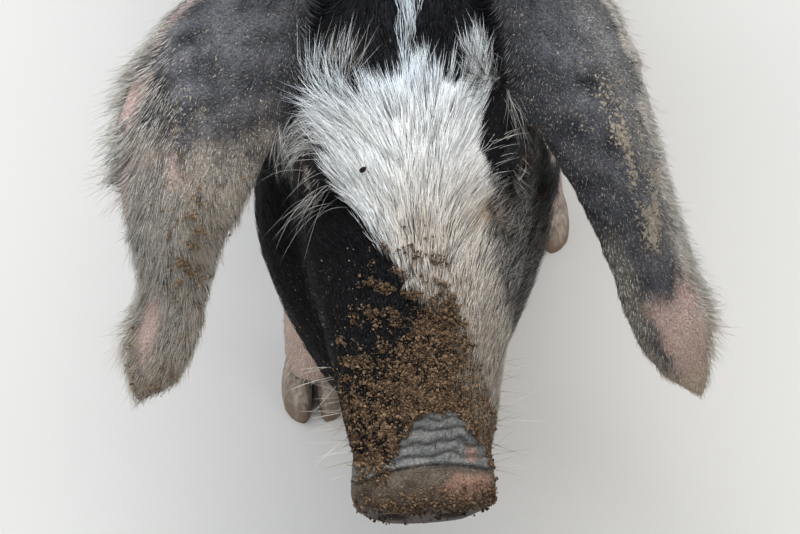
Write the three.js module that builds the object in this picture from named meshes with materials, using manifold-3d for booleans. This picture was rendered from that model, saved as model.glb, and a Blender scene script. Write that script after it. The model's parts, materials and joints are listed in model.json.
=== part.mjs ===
// A life-size still model of a young lop-eared pied pig, standing with its head lowered.
// Millimetres, +Z up. The pig faces -Y, and its left side is at +X.
import * as THREE from "three";
import { LoftGeometry } from "three/addons/geometries/LoftGeometry.js";
import { mergeVertices } from "three/addons/utils/BufferGeometryUtils.js";
import Module from "manifold-3d";

const wasm = await Module();
wasm.setup();

// ---- Driving sizes -------------------------------------------------------------------------

const CUT = 0.35; // gap between neighbouring pieces
const WELD = 1e-4; // corners closer than this are one corner
const SIMPLIFY = 0.3; // how far a node's faces may stray from the full solid
const HEAD_PITCH = THREE.MathUtils.degToRad(40); // face line below the horizontal
const HEAD_TWIST = THREE.MathUtils.degToRad(3.5); // brings the pig's right cheek up a little
const HEAD_ORIGIN = new THREE.Vector3(-5, -305, 268); // middle of the snout disc
const DISC_TILT = THREE.MathUtils.degToRad(16); // the disc looks up a little from the face line
const SNOUT_CUT = 9; // where the snout ends, measured back from the disc
const NECK_CUT = { y: -152, z: 388, lean: THREE.MathUtils.degToRad(17) }; // where the head ends
const SHOULDER_CUT_Y = -48; // where the neck ends
const CHEEK_SHIFT = -2; // the right cheek is the fuller one
const HEAD_POINTS = 28; // corners round each ring of the skull
const BODY_POINTS = 26;
const JOWL_POINTS = 24;
const LEG_POINTS = 16;
const EAR_POINTS = 18;
const TAIL_POINTS = 8;
const MOUTH = { level: -27, corner: 74 }; // lip line below the face axis, and the corner's distance
const JAW_REACH = 40; // how far the lower jaw's piece runs on behind the mouth's corner
const EYE = { radius: 10.5, side: 34.5, back: 124, level: 23 };
const ORBIT = { out: 18, front: 8, up: 13, size: [15, 17, 12] }; // hollow before the eye
const BROW = { inward: 11, back: 13, down: 4, size: [20, 29, 26] }; // ridge over the eye
const NOSTRIL = { side: 11.5, front: 15, down: 1, size: [5.4, 9, 6.6] };
const FORE_LEG_CUT_Z = 203;
const HIND_LEG_CUT_Z = 233;
const KNEE_CUT_Z = 106;
const HOCK_CUT_Z = 132;
const CLAW = { length: 43, width: 19.5, height: 27, cleft: 2.2, forward: 12, middle: 14, points: 12 };
const DEWCLAW = { radius: 6.5, length: 20, spread: 10, behind: 17, level: 40, tilt: 0.5, points: 8 };
const STANCE = {
  fore_left: { side: 79, shift: 70 },
  fore_right: { side: -64, shift: -58 },
  hind_left: { side: 60, shift: -30 },
  hind_right: { side: -63, shift: 30 },
};
const FORE_FOOT_Y = 2;
const HIND_FOOT_Y = 366;
const LEG_SWING_TOP = 320; // the height that a leg swings about in its stride
const LEG_TOP_SIDE = 61; // how far out every leg starts, whatever its foot does
const LEG_TOP_Z = 400;
const TAIL = {
  root: new THREE.Vector3(0, 426, 404),
  curl: 19,
  tighten: 0.18,
  drift: 25,
  split: 0.42,
  turns: 1.12,
  rootRadius: 12,
  tipRadius: 4,
  steps: 12,
  rows: 22,
};

// ---- Colours ---------------------------------------------------------------------------------

const finish = (color, roughness) => new THREE.MeshStandardMaterial({ color, roughness, metalness: 0 });
const WHITE_COAT = finish(0xcfc8bd, 0.75);
const DARK_HIDE = finish(0x34343a, 0.7);
const SNOUT_SKIN = finish(0x8a6f68, 0.6);
const HORN = finish(0x9a8a72, 0.5);
const EYE_BROWN = finish(0x1c120c, 0.15);

// ---- Solids ----------------------------------------------------------------------------------

const point = (x, y, z) => new THREE.Vector3(x, y, z);
const FAR = 700; // beyond the animal in every direction

// Turns a closed geometry into a solid that can be joined and cut, with its faces pointing out.
function solid(geometry) {
  const bare = new THREE.BufferGeometry();
  bare.setAttribute("position", geometry.getAttribute("position"));
  bare.setIndex(geometry.index);
  const merged = mergeVertices(bare, WELD);
  const corners = Array.from(merged.index.array);
  const kept = [];
  for (let i = 0; i < corners.length; i += 3) {
    const [a, b, c] = corners.slice(i, i + 3);
    if (a !== b && b !== c && c !== a) kept.push(a, b, c);
  }
  const build = (triVerts) =>
    new wasm.Manifold(
      new wasm.Mesh({
        numProp: 3,
        vertProperties: merged.attributes.position.array,
        triVerts: Uint32Array.from(triVerts),
      }),
    );
  const made = build(kept);
  return made.volume() > 0 ? made : build(kept.reverse());
}

// Skins a row of rings as one closed body, whichever way round the rings were drawn.
function skin(rings) {
  const middle = (ring) => ring.reduce((sum, p) => sum.add(p), point(0, 0, 0)).divideScalar(ring.length);
  const half = Math.floor(rings.length / 2);
  const ring = rings[half];
  const centre = middle(ring);
  const turning = point(0, 0, 0);
  ring.forEach((p, i) => {
    const next = ring[(i + 1) % ring.length];
    turning.add(p.clone().sub(centre).cross(next.clone().sub(centre)));
  });
  const onward = middle(rings[Math.min(half + 1, rings.length - 1)]).sub(middle(rings[half - 1]));
  const wound = turning.dot(onward) > 0 ? rings : rings.map((r) => [...r].reverse());
  return new LoftGeometry(wound, { capStart: true, capEnd: true });
}

// Names a solid and gives it a surface, as one node of the model.
function node(name, shape, material) {
  const { numProp, vertProperties, triVerts } = shape.simplify(SIMPLIFY).getMesh();
  const geometry = new THREE.BufferGeometry();
  const places = new Float32Array((vertProperties.length / numProp) * 3);
  for (let i = 0; i < places.length / 3; i++) {
    places.set(vertProperties.subarray(i * numProp, i * numProp + 3), i * 3);
  }
  geometry.setAttribute("position", new THREE.BufferAttribute(places, 3));
  geometry.setIndex(new THREE.BufferAttribute(Uint32Array.from(triVerts), 1));
  const flat = geometry.toNonIndexed();
  flat.computeVertexNormals();
  const mesh = new THREE.Mesh(flat, material);
  mesh.name = name;
  return mesh;
}

// A big box from low to high corners, used as a cutter, turned and moved by a matrix if one is given.
function block(low, high, matrix = new THREE.Matrix4()) {
  const size = high.clone().sub(low);
  const middle = low.clone().add(high).multiplyScalar(0.5);
  const geometry = new THREE.BoxGeometry(size.x, size.y, size.z);
  geometry.translate(middle.x, middle.y, middle.z).applyMatrix4(matrix);
  return solid(geometry);
}

// ---- Lofts -----------------------------------------------------------------------------------

// A smooth value through the stations that never swings past them (a monotone cubic).
function smoothValue(knots, values, t) {
  const last = knots.length - 1;
  let i = 0;
  while (i < last - 1 && t > knots[i + 1]) i++;
  const slope = (k) => (values[k + 1] - values[k]) / (knots[k + 1] - knots[k]);
  const tangent = (k) => {
    if (k === 0) return slope(0);
    if (k === last) return slope(last - 1);
    const before = slope(k - 1);
    const after = slope(k);
    if (before * after <= 0) return 0;
    return (2 * before * after) / (before + after);
  };
  const span = knots[i + 1] - knots[i];
  const u = (t - knots[i]) / span;
  const h = u * u * (3 - 2 * u);
  const risers = u * (1 - u) ** 2 * tangent(i) - u * u * (1 - u) * tangent(i + 1);
  return values[i] * (1 - h) + values[i + 1] * h + risers * span;
}

// Reads every field of a list of stations at once, by distance along their centres.
function alongStations(stations) {
  const knots = [0];
  for (let i = 1; i < stations.length; i++) {
    const [a, b] = [stations[i - 1], stations[i]];
    knots.push(knots[i - 1] + Math.hypot(b.x - a.x, b.y - a.y, b.z - a.z));
  }
  const fields = Object.keys(stations[0]);
  const read = (t) =>
    Object.fromEntries(fields.map((f) => [f, smoothValue(knots, stations.map((s) => s[f]), t)]));
  return { knots, read };
}

// A closed outline with its own half width, height above and depth below its centre.
function ovalRing(centre, side, up, size, count) {
  const ring = [];
  for (let i = 0; i < count; i++) {
    const angle = (2 * Math.PI * i) / count;
    const [c, s] = [Math.cos(angle), Math.sin(angle)];
    const power = 2 / (s > 0 ? size.squareTop : size.squareBottom);
    const across = size.half * Math.sign(c) * Math.abs(c) ** power;
    const rise = (s > 0 ? size.above : size.below) * Math.sign(s) * Math.abs(s) ** power;
    ring.push(centre.clone().addScaledVector(side, across).addScaledVector(up, rise));
  }
  return ring;
}

// Skins a row of oval rings whose centres follow the stations. Around says how many points a ring
// has, and between how many rings each gap between stations gets.
function loft(stations, around, between = 1) {
  const full = stations.map((s) => ({ x: 0, squareTop: 2, squareBottom: 2, ...s }));
  const { knots, read } = alongStations(full);
  const at = (t) => {
    const s = read(t);
    return point(s.x, s.y, s.z);
  };
  const end = knots[knots.length - 1];
  const rings = [];
  const addRing = (t) => {
    const tangent = at(Math.min(t + 1, end)).sub(at(Math.max(t - 1, 0))).normalize();
    const side = point(1, 0, 0).addScaledVector(tangent, -tangent.x).normalize();
    const up = side.clone().cross(tangent).normalize();
    if (up.z < -0.5 || (Math.abs(up.z) <= 0.5 && up.y > 0)) up.negate();
    rings.push(ovalRing(at(t), side, up, read(t), around));
  };
  for (let i = 0; i < knots.length - 1; i++) {
    for (let k = 0; k < between; k++) addRing(knots[i] + ((knots[i + 1] - knots[i]) * k) / between);
  }
  addRing(end);
  return solid(skin(rings));
}

// ---- Trunk and neck --------------------------------------------------------------------------

function torsoSolid() {
  return loft(
    [
      { y: 437, z: 352, half: 14, above: 16, below: 18 },
      { y: 429, z: 352, half: 42, above: 44, below: 46 },
      { y: 404, z: 350, half: 70, above: 75, below: 80 },
      { y: 350, z: 346, half: 88, above: 103, below: 100 },
      { y: 280, z: 340, half: 94, above: 119, below: 116, squareBottom: 2.1 },
      { y: 190, z: 335, half: 101, above: 128, below: 132, squareBottom: 2.2 },
      { y: 100, z: 334, half: 99, above: 126, below: 130, squareBottom: 2.2 },
      { y: 25, z: 336, half: 92, above: 117, below: 122 },
      { y: -35, z: 344, half: 85, above: 107, below: 102 },
      { y: -85, z: 358, half: 76, above: 89, below: 76 },
      { y: -128, z: 376, half: 65, above: 70, below: 64 },
      { y: -162, z: 393, half: 54, above: 50, below: 52 },
      { y: -182, z: 402, half: 36, above: 30, below: 32 },
    ],
    BODY_POINTS,
    2,
  );
}

// ---- Head ------------------------------------------------------------------------------------

// The head's own frame: X across, Y back along the face from the disc, Z out of the face.
const HEAD_FRAME = new THREE.Matrix4()
  .makeRotationX(HEAD_PITCH)
  .multiply(new THREE.Matrix4().makeRotationY(HEAD_TWIST))
  .setPosition(HEAD_ORIGIN.x, HEAD_ORIGIN.y, HEAD_ORIGIN.z);

// The same frame without the twist, for the ears.
const FACE_FRAME = new THREE.Matrix4()
  .makeRotationX(HEAD_PITCH)
  .setPosition(HEAD_ORIGIN.x, HEAD_ORIGIN.y, HEAD_ORIGIN.z);

const toModel = (shape) => shape.transform(HEAD_FRAME.toArray());

function skullSolid() {
  const rings = [
    { y: -22, z: 0, half: 26.5, above: 21, below: 20.5 },
    { y: -18.5, z: 0, half: 28.6, above: 22.5, below: 23 },
    { y: -9, z: 0, half: 29.3, above: 23.2, below: 24 },
    { y: 0, z: 0, half: 29, above: 22.8, below: 24.5 },
    { y: 9, z: 0, half: 28, above: 22, below: 25 },
    { y: 22, z: 0, half: 31, above: 23.5, below: 26, squareTop: 2.1 },
    { y: 40, z: 0, half: 34, above: 25.5, below: 28, squareTop: 2.2 },
    { y: 60, z: 0, half: 38.5, above: 28.5, below: 33, squareTop: 2.2 },
    { y: 82, z: 0, half: 43.5, above: 32.5, below: 41, squareTop: 2.1 },
    { y: 102, z: 0, half: 47, above: 38, below: 51, squareTop: 2 },
    { y: 122, z: 0, half: 49.5, above: 45, below: 60, squareTop: 1.9 },
    { y: 142, z: 0, half: 51, above: 52, below: 68, squareTop: 1.9 },
    { y: 162, z: 0, half: 52, above: 56, below: 73, squareTop: 1.9 },
    { y: 182, z: 0, half: 50, above: 55, below: 74, squareTop: 1.9 },
    { y: 200, z: 0, half: 43, above: 48, below: 66 },
    { y: 214, z: 0, half: 32, above: 35, below: 48 },
    { y: 222, z: 0, half: 15, above: 16, below: 24 },
  ];
  return loft(rings, HEAD_POINTS).subtract(discTrimmer());
}

// The wedge that leans the disc's face up, with its hinge at the top of the disc.
function discTrimmer() {
  const matrix = new THREE.Matrix4().makeRotationX(-DISC_TILT).setPosition(0, -8, 23);
  return block(point(-60, -60, -90), point(60, 0, 60), matrix);
}

// The cheeks and jowls, widest low on the head behind the corner of the mouth.
function cheeksSolid() {
  return loft(
    [
      { x: CHEEK_SHIFT, y: 26, z: -20, half: 20, above: 10, below: 9 },
      { x: CHEEK_SHIFT, y: 38, z: -21, half: 34, above: 17, below: 15 },
      { x: CHEEK_SHIFT, y: 54, z: -23, half: 43, above: 23, below: 21 },
      { x: CHEEK_SHIFT, y: 73, z: -24, half: 52.5, above: 29, below: 28 },
      { x: CHEEK_SHIFT, y: 93, z: -25, half: 59.5, above: 34, below: 35 },
      { x: CHEEK_SHIFT, y: 115, z: -26, half: 61.5, above: 38, below: 41 },
      { x: CHEEK_SHIFT, y: 139, z: -27, half: 59.5, above: 40, below: 45 },
      { x: CHEEK_SHIFT, y: 163, z: -27, half: 55, above: 40, below: 47 },
      { x: CHEEK_SHIFT, y: 186, z: -26, half: 46, above: 34, below: 41 },
      { x: CHEEK_SHIFT, y: 204, z: -24, half: 30, above: 22, below: 26 },
    ],
    JOWL_POINTS,
  );
}

function jawSolid() {
  return loft(
    [
      { y: 11, z: -33, half: 9, above: 5, below: 4 },
      { y: 15, z: -33, half: 16, above: 9, below: 7.5 },
      { y: 32, z: -35, half: 21, above: 11, below: 10.5 },
      { y: 56, z: -38, half: 28, above: 14, below: 16 },
      { y: 82, z: -43, half: 37, above: 18, below: 24 },
      { y: 112, z: -50, half: 43, above: 26, below: 30 },
      { y: 142, z: -54, half: 43, above: 30, below: 34 },
      { y: 168, z: -54, half: 36, above: 28, below: 31 },
      { y: 184, z: -50, half: 20, above: 18, below: 20 },
    ],
    JOWL_POINTS,
  );
}

// A stretched ball with its middle at a place in the head's frame.
const ball = (radius, [x, y, z], stretch = [1, 1, 1], parts = 12) =>
  solid(
    new THREE.SphereGeometry(radius, parts, Math.round(parts * 0.6))
      .scale(...stretch)
      .translate(x, y, z),
  );

// Both sides of a piece that is made for the left.
const bothSides = (make) => [1, -1].map((side) => make(side));

// The hollow that the eye looks out of.
function orbit(side) {
  const place = [side * (EYE.side + ORBIT.out), EYE.back - ORBIT.front, EYE.level + ORBIT.up];
  return ball(1, place, ORBIT.size, 14);
}

// The bony ridge over the eye.
function brow(side) {
  const place = [side * (EYE.side - BROW.inward), EYE.back + BROW.back, EYE.level - BROW.down];
  return ball(1, place, BROW.size, 14);
}

function nostril(side) {
  return ball(1, [side * NOSTRIL.side, -NOSTRIL.front, -NOSTRIL.down], NOSTRIL.size, 8);
}

function eyeSolid(side, radius) {
  return ball(radius, [side * EYE.side, EYE.back, EYE.level]);
}

// ---- Ears ------------------------------------------------------------------------------------

// One ear as a leaf that arches over its length and droops, in the head's frame. Its ring is a thin
// bent lens: wide across, arched outward, with the two edges dropping by their own amounts.
function earRing(centre, side, up, size, count) {
  const ring = [];
  for (let i = 0; i < count; i++) {
    const angle = (2 * Math.PI * i) / count;
    const [c, s] = [Math.cos(angle), Math.sin(angle)];
    const across = (c * size.chord) / 2;
    const drop = (c > 0 ? size.outer : size.inner) * c * c;
    const rise = (size.thick / 2) * Math.sign(s) * Math.abs(s) ** 0.7 - drop;
    ring.push(centre.clone().addScaledVector(side, across).addScaledVector(up, rise));
  }
  return ring;
}

// Stations from the base to the tip of each ear, for an ear at the left side.
const LEFT_EAR = [
  { x: 41, y: 203, z: 18, chord: 52, thick: 20, inner: 10, outer: 10, lean: 25 },
  { x: 51, y: 189, z: 28, chord: 58, thick: 17, inner: 14, outer: 12, lean: 22 },
  { x: 62, y: 172, z: 34, chord: 59, thick: 13, inner: 15, outer: 14, lean: 20 },
  { x: 71, y: 154, z: 35, chord: 55, thick: 11, inner: 14, outer: 13, lean: 20 },
  { x: 79, y: 131, z: 30, chord: 50, thick: 10, inner: 12, outer: 11, lean: 24 },
  { x: 87.5, y: 110, z: 20, chord: 46, thick: 9.5, inner: 10, outer: 9, lean: 27 },
  { x: 95, y: 88, z: 8, chord: 42, thick: 9, inner: 8, outer: 7, lean: 28 },
  { x: 102, y: 67, z: -6, chord: 41, thick: 8.5, inner: 8, outer: 4, lean: 24 },
  { x: 108, y: 52, z: -16, chord: 38, thick: 8, inner: 7, outer: 2, lean: 18 },
  { x: 112, y: 38, z: -26, chord: 26, thick: 7, inner: 4, outer: 1, lean: 16 },
  { x: 118, y: 27, z: -34, chord: 9, thick: 5, inner: 1, outer: 0, lean: 16 },
  { x: 119, y: 24, z: -36, chord: 3, thick: 3, inner: 0, outer: 0, lean: 16 },
];

// The right ear is spread wider, with its outer edge turned up.
const RIGHT_EAR = [
  { x: 40, y: 204, z: 18, chord: 52, thick: 20, inner: 10, outer: 8, lean: 25 },
  { x: 52, y: 188, z: 28, chord: 63, thick: 17, inner: 14, outer: 9, lean: 20 },
  { x: 69, y: 168, z: 35, chord: 66, thick: 13, inner: 16, outer: 9, lean: 16 },
  { x: 80, y: 151, z: 36, chord: 67, thick: 11, inner: 16, outer: 8, lean: 14 },
  { x: 88, y: 133, z: 30, chord: 65, thick: 10, inner: 15, outer: 6, lean: 14 },
  { x: 93, y: 115, z: 21, chord: 58, thick: 9.5, inner: 12, outer: 4, lean: 16 },
  { x: 96, y: 101, z: 12, chord: 47, thick: 9, inner: 10, outer: 3, lean: 20 },
  { x: 97, y: 88, z: 2, chord: 38, thick: 9, inner: 8, outer: 3, lean: 24 },
  { x: 99.5, y: 73, z: -9, chord: 34, thick: 8.5, inner: 7, outer: 3, lean: 26 },
  { x: 105.5, y: 59, z: -19, chord: 35, thick: 8, inner: 6, outer: 2, lean: 22 },
  { x: 111, y: 46, z: -28, chord: 28, thick: 7, inner: 4, outer: 1, lean: 18 },
  { x: 117, y: 35, z: -36, chord: 10, thick: 5, inner: 1, outer: 0, lean: 16 },
  { x: 118, y: 32, z: -38, chord: 3, thick: 3, inner: 0, outer: 0, lean: 16 },
];

function earSolid(stations) {
  const { knots, read } = alongStations(stations);
  const at = (t) => {
    const s = read(t);
    return point(s.x, s.y, s.z);
  };
  const end = knots[knots.length - 1];
  const rings = [];
  const addRing = (t) => {
    const size = read(t);
    const lean = THREE.MathUtils.degToRad(size.lean);
    const tangent = at(Math.min(t + 1, end)).sub(at(Math.max(t - 1, 0))).normalize();
    const facing = point(Math.sin(lean), 0, Math.cos(lean));
    const across = tangent.clone().cross(facing).normalize();
    if (across.x < 0) across.negate();
    const up = across.clone().cross(tangent).normalize();
    if (up.dot(facing) < 0) up.negate();
    rings.push(earRing(at(t), across, up, size, EAR_POINTS));
  };
  knots.forEach(addRing);
  return solid(skin(rings));
}

const mirrored = (shape) => shape.mirror([1, 0, 0]);

// ---- Legs ------------------------------------------------------------------------------------

const FORE_LEG = [
  { y: -14, z: 368, half: 22, front: 34, back: 36, inset: 8 },
  { y: -12, z: 335, half: 33, front: 54, back: 54, inset: 6 },
  { y: -6, z: 285, half: 33, front: 54, back: 56, inset: 3 },
  { y: 4, z: 240, half: 29, front: 42, back: 47, inset: 1 },
  { y: 6, z: 203, half: 24, front: 31, back: 34, inset: 0 },
  { y: 4, z: 165, half: 20, front: 24, back: 25, inset: 0 },
  { y: 0, z: 132, half: 17.5, front: 20, back: 19, inset: 0 },
  { y: -2, z: 112, half: 18.5, front: 20, back: 19, inset: 0 },
  { y: 0, z: 82, half: 14.5, front: 15.5, back: 15.5, inset: 0 },
  { y: 1, z: 54, half: 17, front: 17.5, back: 18.5, inset: 0 },
  { y: -3, z: 40, half: 17.5, front: 17.5, back: 17, inset: 0 },
  { y: -9, z: CLAW.height - 8, half: 18, front: 18, back: 17, inset: 0 },
];

const HIND_LEG = [
  { y: 352, z: 394, half: 24, front: 42, back: 44, inset: 20 },
  { y: 354, z: 355, half: 38, front: 64, back: 68, inset: 11 },
  { y: 351, z: 310, half: 38, front: 68, back: 70, inset: 4 },
  { y: 347, z: 268, half: 32, front: 57, back: 60, inset: 1 },
  { y: 352, z: 226, half: 25, front: 40, back: 45, inset: 0 },
  { y: 369, z: 186, half: 19.5, front: 27, back: 29, inset: 0 },
  { y: 386, z: 150, half: 17, front: 20, back: 25, inset: 0 },
  { y: 386, z: 122, half: 15.5, front: 18, back: 20, inset: 0 },
  { y: 378, z: 88, half: 14, front: 15.5, back: 16, inset: 0 },
  { y: 372, z: 56, half: 17, front: 17.5, back: 18.5, inset: 0 },
  { y: 366, z: 40, half: 17, front: 17.5, back: 17, inset: 0 },
  { y: 359, z: CLAW.height - 8, half: 18, front: 18, back: 17, inset: 0 },
];

// How far a leg's stride carries a point at this height.
const strideAt = (shift, z) => shift * Math.max(0, 1 - z / LEG_SWING_TOP);

function legSolid(stations, { side, shift }) {
  const placed = stations.map(({ inset, front, back, ...s }) => ({
    ...s,
    above: front,
    below: back,
    x: Math.sign(side) * (THREE.MathUtils.lerp(Math.abs(side), LEG_TOP_SIDE, s.z / LEG_TOP_Z) - inset),
    y: s.y + strideAt(shift, s.z),
  }));
  return loft(placed, LEG_POINTS);
}

// One claw of a hoof: a flat sole with a straight inner wall, a round outer wall and a blunt toe.
function clawGeometry() {
  const levels = [
    { z: 0, length: CLAW.length, width: CLAW.width, shift: 0 },
    { z: CLAW.height * 0.35, length: CLAW.length * 0.97, width: CLAW.width * 0.98, shift: 0.8 },
    { z: CLAW.height * 0.75, length: CLAW.length * 0.84, width: CLAW.width * 0.9, shift: 3.6 },
    { z: CLAW.height, length: CLAW.length * 0.66, width: CLAW.width * 0.74, shift: 6.5 },
  ];
  const rings = levels.map(({ z, length, width, shift }) => {
    const ring = [];
    for (let i = 0; i < CLAW.points; i++) {
      const angle = (2 * Math.PI * i) / CLAW.points;
      const [c, s] = [Math.cos(angle), Math.sin(angle)];
      const outward = c > 0 ? c * width * 0.72 : c * width * 0.28;
      const toe = s < 0 ? 1 - 0.25 * Math.abs(s) ** 3 : 1;
      const along = (length / 2) * Math.sign(s) * Math.abs(s) ** 0.9 + shift;
      ring.push(point(outward * toe + width * 0.28, along, z));
    }
    return ring;
  });
  return skin(rings);
}

// One dewclaw as a blunt cone, grown all round by an amount.
function dewclawGeometry(grow = 0) {
  const profile = [
    new THREE.Vector2(0, -grow),
    new THREE.Vector2(DEWCLAW.radius * 0.62 + grow, -grow),
    new THREE.Vector2(DEWCLAW.radius + grow, DEWCLAW.length * 0.4),
    new THREE.Vector2(DEWCLAW.radius * 0.5 + grow, DEWCLAW.length + grow),
    new THREE.Vector2(0, DEWCLAW.length + grow),
  ].reverse();
  return new THREE.LatheGeometry(profile, DEWCLAW.points).rotateX(Math.PI / 2);
}

// The horn of one foot: two claws that carry the weight and two dewclaws behind the pastern.
function footHorn(y, { side, shift }) {
  const parts = [];
  for (const [label, out] of [["outer", Math.sign(side)], ["inner", -Math.sign(side)]]) {
    const claw = new THREE.Matrix4()
      .makeScale(out, 1, 1)
      .setPosition(side + (out * CLAW.cleft) / 2, y + strideAt(shift, CLAW.middle) - CLAW.forward, 0);
    const dewclaw = new THREE.Matrix4().compose(
      point(
        side + out * DEWCLAW.spread,
        y + strideAt(shift, DEWCLAW.level) + DEWCLAW.behind,
        DEWCLAW.level - DEWCLAW.length / 2,
      ),
      new THREE.Quaternion().setFromEuler(new THREE.Euler(DEWCLAW.tilt, 0, 0)),
      point(1, 1, 1),
    );
    parts.push({ name: `claw_${label}`, make: clawGeometry, matrix: claw });
    parts.push({ name: `dewclaw_${label}`, make: dewclawGeometry, matrix: dewclaw });
  }
  return parts;
}

// ---- Tail ------------------------------------------------------------------------------------

// The tail as a thin cone bent along a curl that drifts to the left.
function tailSolid() {
  const path = [TAIL.root.clone().add(point(0, -14, -4)), TAIL.root.clone().add(point(0, 4, 2))];
  const middle = TAIL.root.clone().add(point(0, 33, -14));
  for (let i = 0; i <= TAIL.steps; i++) {
    const share = i / TAIL.steps;
    const turn = 2 * Math.PI * TAIL.turns * share;
    const radius = TAIL.curl * (1 - TAIL.tighten * share);
    const offset = point(TAIL.drift * share, radius * Math.sin(turn), radius * Math.cos(turn));
    path.push(middle.clone().add(offset));
  }
  const curve = new THREE.CatmullRomCurve3(path, false, "centripetal");
  const { normals, binormals } = curve.computeFrenetFrames(TAIL.rows, false);
  const rings = [];
  for (let i = 0; i <= TAIL.rows; i++) {
    const t = i / TAIL.rows;
    const slim = TAIL.tipRadius + (TAIL.rootRadius - TAIL.tipRadius) * (1 - t) ** 1.7;
    const radius = i === TAIL.rows ? TAIL.tipRadius * 0.4 : slim;
    const size = { half: radius, above: radius, below: radius, squareTop: 2, squareBottom: 2 };
    rings.push(ovalRing(curve.getPointAt(t), normals[i], binormals[i], size, TAIL_POINTS));
  }
  return solid(skin(rings));
}

// ---- Putting the animal together -------------------------------------------------------------

const model = new THREE.Group();

// The space on each side of a cut across the head, in the head's frame.
const headSpace = (from, to) => block(point(-FAR, from, -FAR), point(FAR, to, FAR), HEAD_FRAME);

const eyes = bothSides((side) => toModel(eyeSolid(side, EYE.radius)));
const sockets = bothSides((side) => toModel(eyeSolid(side, EYE.radius + CUT)));
const ears = [earSolid(LEFT_EAR), mirrored(earSolid(RIGHT_EAR))].map((ear) =>
  ear.transform(FACE_FRAME.toArray()),
);

let head = skullSolid().add(jawSolid()).add(cheeksSolid());
for (const side of [1, -1]) {
  head = head.add(brow(side)).subtract(orbit(side)).subtract(nostril(side));
}
head = toModel(head);

const legs = Object.entries(STANCE).map(([name, stance]) => {
  const fore = name.startsWith("fore");
  return {
    name,
    fore,
    stance,
    whole: legSolid(fore ? FORE_LEG : HIND_LEG, stance),
    cut: fore ? FORE_LEG_CUT_Z : HIND_LEG_CUT_Z,
    joint: fore ? KNEE_CUT_Z : HOCK_CUT_Z,
    horn: footHorn(fore ? FORE_FOOT_Y : HIND_FOOT_Y, stance),
  };
});

const above = (z) => block(point(-FAR, -FAR, z + CUT / 2), point(FAR, FAR, FAR));
const below = (z) => block(point(-FAR, -FAR, -FAR), point(FAR, FAR, z - CUT / 2));
const behind = (y) => block(point(-FAR, y + CUT / 2, -FAR), point(FAR, FAR, FAR));
const before = (y) => block(point(-FAR, -FAR, -FAR), point(FAR, y - CUT / 2, FAR));

const body = legs.reduce(
  (shape, leg) => shape.add(leg.whole.intersect(above(leg.cut))),
  torsoSolid().add(head),
);

// The head's pieces
const NECK_PLANE = new THREE.Matrix4().makeRotationX(NECK_CUT.lean).setPosition(0, NECK_CUT.y, NECK_CUT.z);
const neckSpace = (from, to) => block(point(-FAR, from, -FAR), point(FAR, to, FAR), NECK_PLANE);
const headFlesh = sockets.reduce(
  (shape, socket) => shape.subtract(socket),
  body.intersect(neckSpace(-FAR, -CUT / 2)),
);
const snout = headFlesh.intersect(headSpace(-FAR, SNOUT_CUT - CUT / 2));
const face = headFlesh.intersect(headSpace(SNOUT_CUT + CUT / 2, FAR));
const jawSpace = block(
  point(-FAR, SNOUT_CUT, -FAR),
  point(FAR, MOUTH.corner + JAW_REACH, MOUTH.level - CUT / 2),
  HEAD_FRAME,
);
const jawSpaceGrown = block(
  point(-FAR, SNOUT_CUT - 1, -FAR),
  point(FAR, MOUTH.corner + JAW_REACH + CUT, MOUTH.level + CUT / 2),
  HEAD_FRAME,
);
model.add(node("snout", snout, SNOUT_SKIN));
model.add(node("lower_jaw", face.intersect(jawSpace), WHITE_COAT));
model.add(node("head", face.subtract(jawSpaceGrown), WHITE_COAT));
model.add(node("eye_left", eyes[0], EYE_BROWN));
model.add(node("eye_right", eyes[1], EYE_BROWN));

// The neck, and the trunk with the tail's root
const behindHead = body.intersect(neckSpace(CUT / 2, FAR));
const tail = tailSolid();
const tailRoot = tail.intersect(before(TAIL.root.y + 4 + CUT / 2));
const trunk = behindHead.intersect(behind(SHOULDER_CUT_Y)).add(tailRoot);
model.add(node("neck", behindHead.intersect(before(SHOULDER_CUT_Y)), DARK_HIDE));
model.add(node("trunk", trunk, WHITE_COAT));

// The tail's free length, in two nodes
const freeTail = tail.intersect(behind(TAIL.root.y + 4 + CUT / 2));
const splitX = TAIL.drift * TAIL.split;
const tailBaseSpace = block(point(-FAR, -FAR, -FAR), point(splitX - CUT / 2, FAR, FAR));
const tailTipSpace = block(point(splitX + CUT / 2, -FAR, -FAR), point(FAR, FAR, FAR));
model.add(node("tail_base", freeTail.intersect(tailBaseSpace), WHITE_COAT));
model.add(node("tail_tip", freeTail.intersect(tailTipSpace), WHITE_COAT));

// Ears grow from the head, so each is trimmed by it.
const bodyGrown = body.add(body.translate([0, -CUT, CUT])).add(body.translate([0, -CUT, -CUT]));
ears.forEach((ear, i) => {
  const pieces = ear.subtract(bodyGrown).subtract(body.translate([i ? -CUT : CUT, 0, 0])).decompose();
  pieces.sort((a, b) => b.volume() - a.volume());
  model.add(node(i ? "ear_right" : "ear_left", pieces[0], DARK_HIDE));
});

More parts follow.
